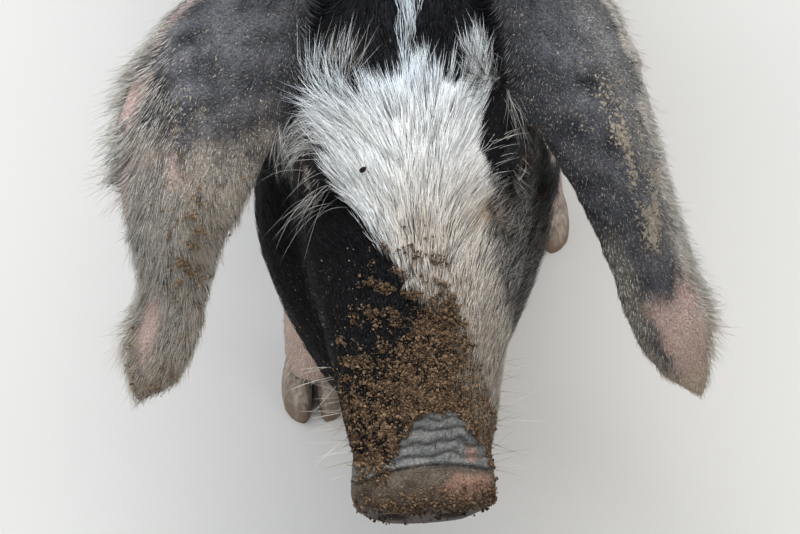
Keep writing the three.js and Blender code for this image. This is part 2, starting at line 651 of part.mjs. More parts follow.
// Legs, each in two lengths, with the foot's horn
for (const leg of legs) {
  let flesh = leg.whole.intersect(below(leg.cut)).intersect(above(CLAW.height + CUT));
  const hornNodes = [];
  for (const part of leg.horn) {
    hornNodes.push([`${leg.name}_${part.name}`, solid(part.make().applyMatrix4(part.matrix))]);
    if (part.make === dewclawGeometry) {
      flesh = flesh.subtract(solid(part.make(CUT).applyMatrix4(part.matrix)));
    }
  }
  const [upper, lower] = leg.fore ? ["forearm", "shin"] : ["shank", "shin"];
  model.add(node(`${leg.name}_${upper}`, flesh.intersect(above(leg.joint)), WHITE_COAT));
  const shin = flesh.intersect(below(leg.joint)).decompose().sort((a, b) => b.volume() - a.volume())[0];
  model.add(node(`${leg.name}_${lower}`, shin, WHITE_COAT));
  for (const [name, shape] of hornNodes) model.add(node(name, shape, HORN));
}

// The origin is at the middle of the animal's box, on the floor.
const box = new THREE.Box3().setFromObject(model);
const centre = box.getCenter(point(0, 0, 0));
model.position.set(-centre.x, -centre.y, -box.min.z);

export default model;
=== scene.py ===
"""Looks for a life-size still model of a young lop-eared pied pig, standing with its head lowered."""

import json
import logging
import math
from dataclasses import dataclass
from enum import Enum
from functools import cached_property

import bmesh
import bpy
import numpy as np
from bmesh.types import BMesh
from bpy.types import Material, Mesh, Node, NodeSocket, NodeTree, Object
from mathutils import Matrix, Vector
from mathutils.bvhtree import BVHTree
from mathutils.kdtree import KDTree

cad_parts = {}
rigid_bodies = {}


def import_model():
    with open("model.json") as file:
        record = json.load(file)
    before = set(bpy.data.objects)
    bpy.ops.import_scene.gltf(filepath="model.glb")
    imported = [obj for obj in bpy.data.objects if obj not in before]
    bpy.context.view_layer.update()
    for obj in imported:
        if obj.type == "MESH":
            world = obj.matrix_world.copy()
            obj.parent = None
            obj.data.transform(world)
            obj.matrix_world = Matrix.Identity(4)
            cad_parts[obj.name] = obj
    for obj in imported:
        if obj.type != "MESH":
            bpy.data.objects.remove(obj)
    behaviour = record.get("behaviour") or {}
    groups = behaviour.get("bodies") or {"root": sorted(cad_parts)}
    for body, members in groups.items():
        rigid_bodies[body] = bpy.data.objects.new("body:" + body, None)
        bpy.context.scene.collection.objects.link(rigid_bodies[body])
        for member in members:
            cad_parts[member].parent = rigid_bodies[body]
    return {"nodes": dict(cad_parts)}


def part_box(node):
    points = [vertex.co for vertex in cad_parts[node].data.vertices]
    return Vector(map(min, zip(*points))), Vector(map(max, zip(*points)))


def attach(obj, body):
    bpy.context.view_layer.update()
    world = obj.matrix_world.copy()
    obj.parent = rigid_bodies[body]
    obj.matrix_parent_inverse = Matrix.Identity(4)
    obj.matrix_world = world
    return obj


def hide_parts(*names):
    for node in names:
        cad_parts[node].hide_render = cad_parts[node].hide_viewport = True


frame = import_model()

LOG = logging.getLogger("pig")
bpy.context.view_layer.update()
MM = 0.001
SIDES = {"left": 1, "right": -1}
Array = np.ndarray
Random = np.random.Generator
Pair = tuple[float, float]
Triple = tuple[float, float, float]
Colour = tuple[float, float, float]


# ---- Small sums


def ease(low: float, high: float, values: Array) -> Array:
    """Eases from 0 at low to 1 at high.

    Args:
        low: the value that gives 0.
        high: the value that gives 1; it may be the smaller of the two.
        values: the numbers to ease.

    Returns:
        A number between 0 and 1 for each value.
    """
    t = np.clip((values - low) / (high - low), 0.0, 1.0)
    return t * t * (3.0 - 2.0 * t)


def bell(values: Array, middle: float, width: float) -> Array:
    """Returns a bell of height one round a middle value."""
    return np.exp(-(((values - middle) / width) ** 2))


def unit(vectors: Array) -> Array:
    """Returns the rows of an array scaled to length one."""
    return vectors / np.maximum(np.linalg.norm(vectors, axis=-1, keepdims=True), 1e-12)


def flatten(vectors: Array, normals: Array) -> Array:
    """Returns directions laid down on the surface with these normals."""
    return unit(vectors - normals * np.sum(vectors * normals, axis=-1, keepdims=True))


def mix(first: Array, second: Array, share: Array) -> Array:
    """Mixes two sets of colours, one row per point, by how much of the second each point takes."""
    share = np.asarray(share)[:, None]
    return np.asarray(first) * (1 - share) + np.asarray(second) * share


def layered(colour: Array, *layers: tuple[Array, Array]) -> Array:
    """Lays more colours over one, in order, each given with its share."""
    for upper, share in layers:
        colour = mix(colour, upper, share)
    return colour


def rows(*columns: Array | float) -> Array:
    """Returns one row per point from its columns; a column may be one number for all."""
    return np.stack(np.broadcast_arrays(*columns), axis=1)


def nearest(tree: BVHTree, points: Array) -> tuple[Array, Array, Array]:
    """Finds the places on a surface that are nearest to some points.

    Args:
        tree: the surface's search tree.
        points: one row per point.

    Returns:
        The places, the directions of the faces there, and the faces' numbers.
    """
    places, directions, faces, _ = zip(*(tree.find_nearest(point) for point in points.tolist()))
    vectors = (np.array([tuple(vector) for vector in found]) for found in (places, directions))
    return *vectors, np.array(faces)


def pick_faces(weights: Array, count: int, rng: Random) -> Array:
    """Picks faces at even steps through their weights, so that they are spread without gaps.

    Args:
        weights: how much each face draws.
        count: how many picks.
        rng: the source of chance.

    Returns:
        The faces' numbers.
    """
    total = np.cumsum(weights)
    steps = (np.arange(count) + rng.random(count)) / count * total[-1]
    return np.minimum(np.searchsorted(total, steps), len(total) - 1)


@dataclass(frozen=True)
class SoftNoise:
    """Smooth noise in space, made of a few turned sine waves, the same on every run."""

    seed: int
    scale: float
    octaves: int = 3
    waves: int = 5
    finer: float = 1.9
    fainter: float = 0.6

    def at(self, points: Array) -> Array:
        """Returns a value from about -1 to 1 for each point."""
        rng = np.random.default_rng(self.seed)
        total = np.zeros(len(points))
        weight = 0.0
        for octave in range(self.octaves):
            size = self.scale / self.finer**octave
            share = self.fainter**octave
            for _ in range(self.waves):
                axis = rng.normal(size=3)
                wave = axis / np.linalg.norm(axis) * (2 * math.pi / size)
                total += share * np.sin(points @ wave + rng.uniform(0, 2 * math.pi)) * 0.6
            weight += share
        return total / weight


# ---- The head's own axes


@dataclass(frozen=True)
class HeadFrame:
    """Axes of the lowered head: across to its left, back along the face, and out of the face.

    The skull leans over sideways a little, by twist. The face axes leave that out.
    """

    pitch: float = math.radians(40)
    twist: float = math.radians(3.5)
    eye_back: float = 0.124
    eye_level: float = 0.023

    def axes(self, twisted: bool = True) -> Array:
        """Returns the unit axes as rows: across, back and out."""
        back = np.array([0.0, math.cos(self.pitch), math.sin(self.pitch)])
        out = np.array([0.0, -math.sin(self.pitch), math.cos(self.pitch)])
        across = np.array([1.0, 0.0, 0.0])
        if not twisted:
            return np.array([across, back, out])
        c, s = math.cos(self.twist), math.sin(self.twist)
        return np.array([across * c - out * s, back, across * s + out * c])

    @cached_property
    def origin(self) -> Array:
        """Returns the middle of the snout disc, worked out from the two eyes."""
        corners = [np.array(c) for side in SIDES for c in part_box(f"eye_{side}")]
        _, back, out = self.axes()
        return sum(corners) / 4 - back * self.eye_back - out * self.eye_level

    def local(self, points: Array, twisted: bool = True) -> Array:
        """Returns model points in the head's own axes, in millimetres."""
        return (np.asarray(points) - self.origin) @ self.axes(twisted).T / MM

    def model(self, points: Array, twisted: bool = True) -> Array:
        """Returns points given in the head's own axes, in millimetres, as model points."""
        return np.asarray(points, dtype=float) * MM @ self.axes(twisted) + self.origin


HEAD = HeadFrame()


# ---- Meshes as arrays


def new_piece(name: str, points: Array, faces: Array) -> Object:
    """Makes a smooth-shaded object from arrays.

    Args:
        name: the piece's name.
        points: one row per corner, in metres.
        faces: one row of three corner numbers per triangle.

    Returns:
        The object, linked to the scene, with its place in its mesh.
    """
    mesh = bpy.data.meshes.new(name)
    mesh.vertices.add(len(points))
    mesh.vertices.foreach_set("co", points.astype(np.float32).ravel())
    mesh.loops.add(faces.size)
    mesh.loops.foreach_set("vertex_index", faces.astype(np.int32).ravel())
    mesh.polygons.add(len(faces))
    mesh.polygons.foreach_set("loop_start", np.arange(0, faces.size, 3, dtype=np.int32))
    mesh.update(calc_edges=True)
    mesh.shade_smooth()
    return show(mesh)


def show(mesh: Mesh) -> Object:
    """Puts a mesh in the scene as an object of the same name."""
    piece = bpy.data.objects.new(mesh.name, mesh)
    bpy.context.scene.collection.objects.link(piece)
    return piece


def as_mesh(shape: BMesh, name: str) -> Mesh:
    """Returns a bmesh's shape as a new mesh, and frees the bmesh."""
    mesh = bpy.data.meshes.new(name)
    shape.to_mesh(mesh)
    shape.free()
    return mesh


def seated(spot: Vector, up: Vector, spin: float = 0.0) -> Matrix:
    """Returns the matrix that takes a shape in millimetres to a spot, with its Z along up."""
    turn = Vector((0, 0, 1)).rotation_difference(up).to_matrix().to_4x4()
    return Matrix.Translation(spot) @ turn @ Matrix.Rotation(spin, 4, "Z") @ Matrix.Scale(MM, 4)


def paint(piece: Object, name: str, colours: Array) -> None:
    """Stores a colour at each corner of a piece, under the name that its material reads."""
    layer = piece.data.attributes.new(name, "FLOAT_COLOR", "POINT")
    rows = np.ones((len(colours), 4), dtype=np.float32)
    rows[:, :3] = np.clip(colours, 0, 1)
    layer.data.foreach_set("color", rows.ravel())


def mark(piece: Object, name: str, values: Array) -> None:
    """Stores one number at each corner of a piece, under the name that its material reads."""
    layer = piece.data.attributes.new(name, "FLOAT", "POINT")
    layer.data.foreach_set("value", values.astype(np.float32))


def map_corners(piece: Object, spots: Array, faces: Array) -> None:
    """Gives a piece its map for the baked colours.

    Args:
        piece: the object.
        spots: for each corner point, its place on the map.
        faces: the piece's faces.
    """
    uv = piece.data.uv_layers.new(name="OFBake")
    uv.data.foreach_set("uv", spots.reshape(-1, 2)[faces.ravel()].astype(np.float32).ravel())


def keep_piece(
    piece: Object, material: Material, nodes: tuple[str, ...] = ()
) -> None:
    """Dresses a finished piece, tells the frame where it belongs, and reports it.

    Args:
        piece: the finished object.
        material: its finish.
        nodes: the solid nodes that it stands for.
    """
    piece.data.materials.append(material)
    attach(piece, "root")
    if nodes:
        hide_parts(*nodes)
    LOG.info("%s: %d faces", piece.name, len(piece.data.polygons))


@dataclass
class Surface:
    """A triangle mesh held as arrays, with the sums that shaping the skin needs."""

    points: Array  # one row per corner, in metres
    faces: Array  # one row of three corner numbers per triangle

    def __post_init__(self) -> None:
        """Finds the edges, and how many meet at each corner."""
        pairs = np.concatenate([self.faces[:, [k, (k + 1) % 3]] for k in range(3)])
        self.edges = np.unique(np.sort(pairs, axis=1), axis=0)
        self.links = np.maximum(np.bincount(self.edges.ravel(), minlength=len(self.points)), 1)

    @classmethod
    def of(cls, mesh: Mesh, used_up: bool = False) -> "Surface":
        """Reads a Blender mesh as triangles, and removes it if it is used up."""
        points = np.empty(len(mesh.vertices) * 3)
        mesh.vertices.foreach_get("co", points)
        mesh.calc_loop_triangles()
        faces = np.empty(len(mesh.loop_triangles) * 3, dtype=np.int32)
        mesh.loop_triangles.foreach_get("vertices", faces)
        if used_up:
            bpy.data.meshes.remove(mesh)
        return cls(points.reshape(-1, 3), faces.reshape(-1, 3))

    @classmethod
    def joined(cls, parts: list["Surface"]) -> "Surface":
        """Returns several surfaces as one."""
        starts = np.cumsum([0] + [len(part.points) for part in parts[:-1]])
        faces = np.concatenate([part.faces + start for part, start in zip(parts, starts)])
        return cls(np.concatenate([part.points for part in parts]), faces)

    def face_normals(self) -> tuple[Array, Array]:
        """Returns each face's normal and its area."""
        a, b, c = (self.points[self.faces[:, k]] for k in range(3))
        cross = np.cross(b - a, c - a)
        size = np.linalg.norm(cross, axis=1)
        return cross / np.maximum(size, 1e-15)[:, None], size / 2

    def normals(self) -> Array:
        """Returns each corner's outward direction, weighted by the faces round it."""
        direction, area = self.face_normals()
        total = np.zeros_like(self.points)
        for k in range(3):
            for axis in range(3):
                spread = np.bincount(self.faces[:, k], direction[:, axis] * area, len(self.points))
                total[:, axis] += spread
        return unit(total)

    def average(self, values: Array, rounds: int, share: float | Array = 1.0) -> Array:
        """Blurs a value that is held at the corners.

        Args:
            values: one row or one number per corner.
            rounds: how many times each corner moves.
            share: how far it moves towards its neighbours' mean, from 0 to 1.

        Returns:
            The blurred values.
        """
        flat = values.reshape(len(values), -1).astype(float)
        first, second = self.edges.T
        share = np.broadcast_to(np.asarray(share, dtype=float), (len(flat),))[:, None]
        for _ in range(rounds):
            mean = np.empty_like(flat)
            for axis in range(flat.shape[1]):
                column = flat[:, axis]
                mean[:, axis] = np.bincount(first, column[second], len(flat))
                mean[:, axis] += np.bincount(second, column[first], len(flat))
            flat = flat + (mean / self.links[:, None] - flat) * share
        return flat.reshape(values.shape)

    def soften(self, rounds: int, share: float | Array) -> None:
        """Moves the corners towards their neighbours' mean, which draws the surface in a little."""
        self.points = self.average(self.points, rounds, share)

    def relax(self, rounds: int, share: float | Array = 0.6) -> None:
        """Smooths the surface without drawing it in, by a step in and a step back out.

        Args:
            rounds: how many pairs of steps.
            share: the strength of each step.
        """
        for _ in range(rounds):
            self.soften(1, share)
            self.soften(1, -np.asarray(share) * 0.94)

    def push(self, amount: Array, along: Array | None = None) -> None:
        """Moves the corners.

        Args:
            amount: how far each goes, in millimetres.
            along: the direction that they take, if it isn't their own outward one.
        """
        direction = self.normals() if along is None else along
        self.points = self.points + direction * (amount * MM)[:, None]

    def tree(self) -> BVHTree:
        """Returns a search tree of the surface's faces."""
        return BVHTree.FromPolygons(self.points.tolist(), self.faces.tolist())


# ---- The parts of the body


FEET = ("fore_left", "fore_right", "hind_left", "hind_right")
HORN_PARTS = ("claw_outer", "claw_inner", "dewclaw_outer", "dewclaw_inner")
LEG_TOPS = tuple(f"{foot}_{'forearm' if 'fore' in foot else 'shank'}" for foot in FEET)
SHINS = tuple(f"{foot}_shin" for foot in FEET)


class Zone(Enum):
    """Parts of the body that differ in skin and coat: their nodes, and the coat's depth in mm."""

    SNOUT = (("snout",), 0.2)
    HEAD = (("head",), 1.4)
    JAW = (("lower_jaw",), 1.2)
    EAR_LEFT = (("ear_left",), 0.9)
    EAR_RIGHT = (("ear_right",), 0.9)
    NECK = (("neck",), 2.8)
    TRUNK = (("trunk",), 3.4)
    TAIL = (("tail_base", "tail_tip"), 1.2)
    LEG_TOP = (LEG_TOPS, 2.2)
    LEG_LOW = (SHINS, 1.2)


ZONES = tuple(Zone)
FLESH = tuple(node for zone in ZONES for node in zone.value[0])
FACE = (Zone.HEAD, Zone.SNOUT, Zone.JAW)


def whole_node(name: str) -> BMesh:
    """Returns a copy of a node's mesh with its loose triangles joined."""
    shell = bmesh.new()
    shell.from_mesh(frame["nodes"][name].data)
    bmesh.ops.remove_doubles(shell, verts=shell.verts, dist=1e-6)
    bmesh.ops.recalc_face_normals(shell, faces=shell.faces)
    shell.normal_update()
    return shell


def modified(holder: Object, kind: str, **settings: object) -> Mesh:
    """Returns an object's mesh as a modifier leaves it, and removes the object and its own mesh.

    Args:
        holder: the object.
        kind: the modifier's type.
        settings: the modifier's properties.

    Returns:
        The new mesh.
    """
    modifier = holder.modifiers.new("shape", kind)
    for key, value in settings.items():
        setattr(modifier, key, value)
    view = bpy.context.evaluated_depsgraph_get()
    shaped = bpy.data.meshes.new_from_object(holder.evaluated_get(view))
    old = holder.data
    bpy.data.objects.remove(holder)
    bpy.data.meshes.remove(old)
    return shaped


def voxel_shell(shells: list[BMesh], swell: float, voxel: float) -> Mesh:
    """Joins closed shells into one closed surface of small even faces.

    Args:
        shells: the closed meshes; they are used up.
        swell: how far each is grown first.
        voxel: the size of the new faces.

    Returns:
        The joined mesh.
    """
    whole = bmesh.new()
    for shell in shells:
        for vertex in shell.verts:
            vertex.co += vertex.normal * swell
        part = as_mesh(shell, "part")
        whole.from_mesh(part)
        bpy.data.meshes.remove(part)
    return modified(show(as_mesh(whole, "shell")), "REMESH", mode="VOXEL", voxel_size=voxel)


@dataclass(frozen=True)
class EyeSeat:
    """Where one eye sits, which way it looks, and the shape of the gap between its lids.

    Sizes are in millimetres, in the head's own axes.
    """

    name: str
    radius: float = 10.5
    lid: float = 1.1
    half_width: float = 7.2
    half_height: float = 3.7

    @property
    def side(self) -> int:
        """Returns 1 on the pig's left and -1 on its right."""
        return SIDES[self.name]

    @cached_property
    def centre(self) -> Array:
        """Returns the eyeball's middle in the head's own axes."""
        low, high = (np.array(corner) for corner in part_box(f"eye_{self.name}"))
        return HEAD.local((low + high) / 2)

    @cached_property
    def axes(self) -> Array:
        """Returns the directions along the gap, up across the lids, and out along the gaze."""
        gaze = unit(np.array([0.80 * self.side, -0.28, 0.53]))
        along = unit(np.array([0.10 * self.side, 1.0, 0.30]))
        along = unit(along - gaze * (along @ gaze))
        up = np.cross(gaze, along)
        up *= np.sign(up[2])
        return np.array([along, up, gaze])

    def lid_height(self, share: Array) -> Array:
        """Returns half the gap's height at shares of its half width."""
        return self.half_height * np.sqrt(np.clip(1 - share**2, 0, 1)) ** 1.3


SEATS = tuple(EyeSeat(name) for name in SIDES)
RIGHT_EYE = SEATS[1]


@dataclass(frozen=True)
class Nostril:
    """The size and place of the nostrils, in millimetres."""

    side: float = 11.5
    level: float = -1.5
    half: float = 5.0
    height: float = 6.0
    depth: float = 5.0


@dataclass(frozen=True)
class Mouth:
    """The line of the mouth: its level, how far back its corner is, and its depth, in millimetres."""

    level: float = -27.0
    corner: float = 76.0
    depth: float = 2.6


@dataclass
class PigSkin:
    """The one skin that covers the whole animal, with its lids, nostrils, mouth and folds."""

    voxel: float = 3.1 * MM
    swell: float = 0.5 * MM
    most_faces: int = 190000
    nostril: Nostril = Nostril()
    mouth: Mouth = Mouth()
    wrinkle_rows: tuple[float, ...] = (26.0, 21.3, 16.6, 12.0)
    lid_colour: Colour = (0.018, 0.013, 0.011)

    def __post_init__(self) -> None:
        """Makes the skin's surface, with its zones worked out at every corner."""
        numbers = [number for number, zone in enumerate(ZONES) for _ in zone.value[0]]
        parts = [Surface.of(frame["nodes"][node].data) for node in FLESH]
        self._tree = Surface.joined(parts).tree()
        self._tree_zones = np.repeat(numbers, [len(part.faces) for part in parts])
        shells = [whole_node(name) for name in FLESH + ("eye_left", "eye_right")]
        mesh = self._refine(voxel_shell(shells, self.swell, self.voxel))
        self.surface = Surface.of(mesh, used_up=True)
        self._weigh()
        self._smooth()
        self._thin()
        self._sink()
        self.lid_edge = np.zeros(len(self.surface.points))
        for seat in SEATS:
            self._open_eye(seat)
        self._sculpt_snout()
        self._sculpt_mouth()
        self._sculpt_folds()
        self.spots = Spots(self.surface.points, self.surface.normals(), self.weights)

    def _zones_at(self, points: Array) -> Array:
        """Returns the zone number of the node nearest to each point."""
        return self._tree_zones[nearest(self._tree, points)[2]]

    def _refine(self, mesh: Mesh) -> Mesh:
        """Divides the faces of the head, and again those round the eyes and the snout.

        Args:
            mesh: the even surface; it is changed.

        Returns:
            The same mesh, all triangles, without loose scraps inside.
        """
        work = bmesh.new()
        work.from_mesh(mesh)
        self._drop_scraps(work)
        for fine in (False, True):
            centres = np.array([face.calc_center_median() for face in work.faces])
            local = HEAD.local(centres)
            head = np.isin(self._zones_at(centres), [ZONES.index(zone) for zone in FACE])
            if fine:
                eyes = np.min([np.linalg.norm(local - seat.centre, axis=1) for seat in SEATS], axis=0)
                chosen = head & ((eyes < 19) | (local[:, 1] < 33))
            else:
                chosen = head & (local[:, 1] < 178) & (np.abs(local[:, 0]) < 64)
            edges = {edge for face, take in zip(work.faces, chosen) if take for edge in face.edges}
            bmesh.ops.subdivide_edges(work, edges=list(edges), cuts=1, use_grid_fill=True)
        bmesh.ops.triangulate(work, faces=work.faces)
        work.to_mesh(mesh)
        work.free()
        return mesh

    @staticmethod
    def _drop_scraps(work: BMesh) -> None:
        """Removes all but the largest connected shell."""
        left, shells = set(work.verts), []
        while left:
            front = {left.pop()}
            shells.append(set(front))
            while front:
                ends = (edge.verts for vertex in front for edge in vertex.link_edges)
                front = {vertex for pair in ends for vertex in pair} & left
                left -= front
                shells[-1] |= front
        scraps = set().union(*sorted(shells, key=len)[:-1])
        bmesh.ops.delete(work, geom=list(scraps), context="VERTS")

    def _weigh(self) -> None:
        """Works out how much each corner belongs to each zone, with soft changes between them."""
        self.zone_numbers = self._zones_at(self.surface.points)
        soft = self.surface.average(np.eye(len(ZONES))[self.zone_numbers], 5, 0.8)
        self.weights = {zone: soft[:, k] for k, zone in enumerate(ZONES)}

    def _smooth(self) -> None:
        """Rounds off the facets: most on the body, least on the face and the feet."""
        surface, w = self.surface, self.weights
        surface.soften(70, 0.75 * (w[Zone.TRUNK] + w[Zone.NECK]))
        surface.soften(5, 0.45 * (w[Zone.LEG_TOP] + (w[Zone.EAR_LEFT] + w[Zone.EAR_RIGHT])))
        surface.soften(12, 0.6 * (w[Zone.HEAD] + w[Zone.JAW] + 0.7 * w[Zone.SNOUT]))
        surface.relax(12, 0.6)

    def _thin(self) -> None:
        """Drops the faces that the smooth body doesn't need."""
        holder = new_piece("thin", self.surface.points, self.surface.faces)
        face = sum(self.weights[zone] for zone in FACE)
        group = holder.vertex_groups.new(name="body")
        for number in np.flatnonzero(face < 0.2).tolist():
            group.add([number], 1.0, "REPLACE")
        ratio = self.most_faces / len(self.surface.faces)
        mesh = modified(holder, "DECIMATE", vertex_group="body", ratio=ratio)
        self.surface = Surface.of(mesh, used_up=True)
        self._weigh()

    def _sink(self) -> None:
        """Draws the skin in by the depth of the coat that stands on it."""
        depth = sum(self.weights[zone] * zone.value[1] for zone in ZONES)
        local = HEAD.local(self.surface.points)
        forehead = ease(75, 120, local[:, 1]) * ease(-5, 20, local[:, 2]) * self.weights[Zone.HEAD]
        self.surface.push(-(depth + 1.6 * forehead + self.swell * 0.6 / MM))
        self.surface.relax(2, 0.5)

    def _open_eye(self, seat: EyeSeat) -> None:
        """Lays lids over one eyeball and opens the gap between them.

        Args:
            seat: where the eye is, and the shape of its gap.
        """
        points = self.surface.points
        away = HEAD.local(points) - seat.centre
        far = np.linalg.norm(away, axis=1)
        direction = away / np.maximum(far, 1e-9)[:, None]
        along, up, gaze = (direction @ seat.axes.T).T
        head = ease(0.45, 0.75, self.weights[Zone.HEAD])
        take = (far < 18) & (gaze > 0.1) & (head > 0)
        h = seat.radius * np.arcsin(np.clip(along, -1, 1))
        v = seat.radius * np.arcsin(np.clip(up, -1, 1)) - 0.5 + 0.012 * h * h
        gap = np.abs(v) - seat.lid_height(h / seat.half_width) * np.where(v > 0, 1.0, 0.5)
        outside = ease(-0.35, 0.75, gap)
        rim = 0.35 * bell(gap, 0.9, 0.7) + 0.5 * bell(gap, 2.4, 1.4)
        crease = -0.75 * bell(gap, 4.2, 0.7) * (v > 0)
        crease -= (0.45 * bell(gap, 3.0, 0.6) + 0.30 * bell(gap, 5.6, 0.7)) * (v < 0)
        target = seat.radius - 1.7 + outside * (1.7 + seat.lid) + rim + crease
        share = ease(0.22, 0.55, gaze) * ease(18, 14, far) * head * take
        moved = seat.centre + direction * (far + (target - far) * share)[:, None]
        self.surface.points = np.where(take[:, None], HEAD.model(moved), points)
        self.lid_edge = np.maximum(self.lid_edge, bell(gap, 0.6, 1.1) * take)

    def _sculpt_snout(self) -> None:
        """Deepens the nostrils, and makes the rim and the wrinkles over the bare nose."""
        surface, hole, back = self.surface, self.nostril, HEAD.axes()[1]
        x, s, n = HEAD.local(surface.points).T
        snout = self.weights[Zone.SNOUT] + self.weights[Zone.HEAD]
        for side in SIDES.values():
            far = np.hypot((x - side * hole.side) / hole.half, (n - hole.level) / hole.height)
            surface.push(ease(1.25, 0.45, far) * ease(8, -4, s) * hole.depth, back)
        wobble = SoftNoise(11, 0.016, 2).at(surface.points)
        arch = disc_edge(x)
        fold = np.zeros(len(x))
        for row in self.wrinkle_rows:
            line = row - 0.6 * (8.2 - arch) - wobble * 1.1
            fold += -1.0 * bell(s, line, 0.62) + 0.45 * bell(s, line + 2.0, 1.2)
        crossing = np.abs(np.sin((x + 1.3 * wobble + 0.12 * s) / 1.55))
        fold -= 0.28 * bell(crossing, 0, 0.22)
        fold *= ease(1.15, 0.85, np.abs(x - 6) / (10 + 0.55 * (27 - s))) * ease(29, 26, s)
        step = -1.5 * bell(s, arch, 0.8) * ease(34, 26, np.abs(x))
        rim = 1.3 * bell(s, arch - 5.5, 4.2)
        surface.push(ease(4, 12, n) * snout * (fold + step + rim))
        corner = np.clip(np.abs(x - 1) / 29, 0, 1.1) ** 3.2
        surface.push(4.6 * corner * ease(4, -14, s) * snout, back)
        surface.relax(1, 0.35 * self.weights[Zone.SNOUT])

    def _sculpt_mouth(self) -> None:
        """Cuts the line of the mouth round the front and sides of the muzzle."""
        _, s, n = HEAD.local(self.surface.points).T
        mouth = self.mouth
        level = mouth.level + 1.2 * np.sin(s / 13.0) - 3.0 * ease(50, 76, s)
        below = ease(mouth.corner + 3, mouth.corner - 6, s)
        line = -mouth.depth * bell(n, level, 1.5) + 0.8 * bell(np.abs(n - level), 4.0, 2.0)
        self.surface.push(line * below * sum(self.weights[zone] for zone in FACE))

    def _sculpt_folds(self) -> None:
        """Adds the slack skin: creases on the neck and knees, and the hollows of the flanks."""
        points, w = self.surface.points, self.weights
        _, y, z = (points / MM).T
        wave = SoftNoise(23, 0.05, 2).at(points)
        neck = np.sin((y + 0.45 * z) / 6.4 + wave * 1.6) * w[Zone.NECK] * 0.55
        knees = np.sin(z / 2.3 + wave * 2) * (bell(z, 108, 10) + bell(z, 134, 11)) * 0.35
        pastern = np.sin(z / 1.6 + wave) * bell(z, 40, 9) * 0.25
        lump = SoftNoise(31, 0.11, 2).at(points) * w[Zone.TRUNK] * 0.9
        worn = ease(60, 100, HEAD.local(points)[:, 1]) * w[Zone.HEAD]
        face = SoftNoise(37, 0.022, 2).at(points) * worn * 0.35
        legs = (knees + pastern) * (w[Zone.LEG_LOW] + w[Zone.LEG_TOP])
        self.surface.push(neck + legs + lump + face)

    def dress(self, markings: "PiedMarkings", material: Material) -> None:
        """Makes the skin's object and gives it its colours.

        Args:
            markings: the pattern of the hide.
            material: the finish of the skin.
        """
        spots = self.spots
        piece = new_piece("skin", self.surface.points, self.surface.faces)
        paint(piece, "hide", mix(markings.hide(spots), self.lid_colour, 0.92 * self.lid_edge))
        mark(piece, "bare", self.weights[Zone.SNOUT])
        mark(piece, "dust", sum(spots.weights[zone] * markings.ear_dust(spots, zone) for zone in EARS))
        keep_piece(piece, material, FLESH)


# ---- Ears, markings and the lie of the coat


def disc_edge(x: Array) -> Array:
    """Returns how far back the snout disc's arched upper edge lies, from the distance across."""
    return 8.2 - 0.0085 * (x - 3) ** 2


@dataclass(frozen=True)
class EarPlace:
    """Where points lie on one ear, and which way the ear runs there."""

    left: bool
    along: Array  # 0 at the base, 1 at the tip
    across: Array  # 1 at the outer edge, -1 at the inner edge
    tip_ward: Array
    edge_ward: Array
    top: Array

    @property
    def rim(self) -> Array:
        """Returns how far across the shaggy outer edge begins."""
        return 0.74 - 0.26 * ease(0.2, 0.5, self.along)


@dataclass(frozen=True)
class EarAxis:
    """The middle line of one ear from its base to its tip, in the head's axes without the twist.

    Each station is a place on the line and the ear's half width there, in millimetres.
    """

    side: int
    stations: tuple[tuple[float, float, float, float], ...]
    lean: float = math.radians(20)
    rows: int = 64
    chunk: int = 20000

    def place(self, points: Array) -> EarPlace:
        """Works out where model points lie on the ear."""
        table = np.array(self.stations)
        steps = np.linalg.norm(np.diff(table[:, :3], axis=0), axis=1)
        length = np.concatenate([[0], np.cumsum(steps)])
        t = np.linspace(0, 1, self.rows)
        line = np.array([np.interp(t, length / length[-1], column) for column in table.T]).T
        line[:, 0] *= self.side
        local = HEAD.local(points, twisted=False)
        near = np.empty(len(local), dtype=int)
        for start in range(0, len(local), self.chunk):
            some = slice(start, start + self.chunk)
            gap = np.linalg.norm(local[some, None, :] - line[None, :, :3], axis=2)
            near[some] = gap.argmin(axis=1)
        tangent = unit(np.gradient(line[:, :3], axis=0))
        up = np.array([self.side * math.sin(self.lean), 0.0, math.cos(self.lean)])
        edge = unit(np.cross(up, tangent)) * self.side
        top = unit(np.cross(tangent, edge)) * self.side
        across = np.sum((local - line[near, :3]) * edge[near], axis=1) / line[near, 3]
        ways = (way[near] @ HEAD.axes(twisted=False) for way in (tangent, edge, top))
        return EarPlace(self.side > 0, t[near], across, *ways)


EARS = {
    Zone.EAR_LEFT: EarAxis(
        SIDES["left"],
        ((41, 203, 18, 26), (62, 172, 34, 29), (79, 131, 30, 25), (95, 88, 8, 21), (108, 52, -16, 19),
         (119, 24, -36, 5)),
    ),
    Zone.EAR_RIGHT: EarAxis(
        SIDES["right"],
        ((40, 204, 18, 26), (69, 168, 35, 33), (88, 133, 30, 32), (96, 101, 12, 23), (99, 73, -9, 17),
         (111, 46, -28, 14), (118, 32, -38, 5)),
    ),
}


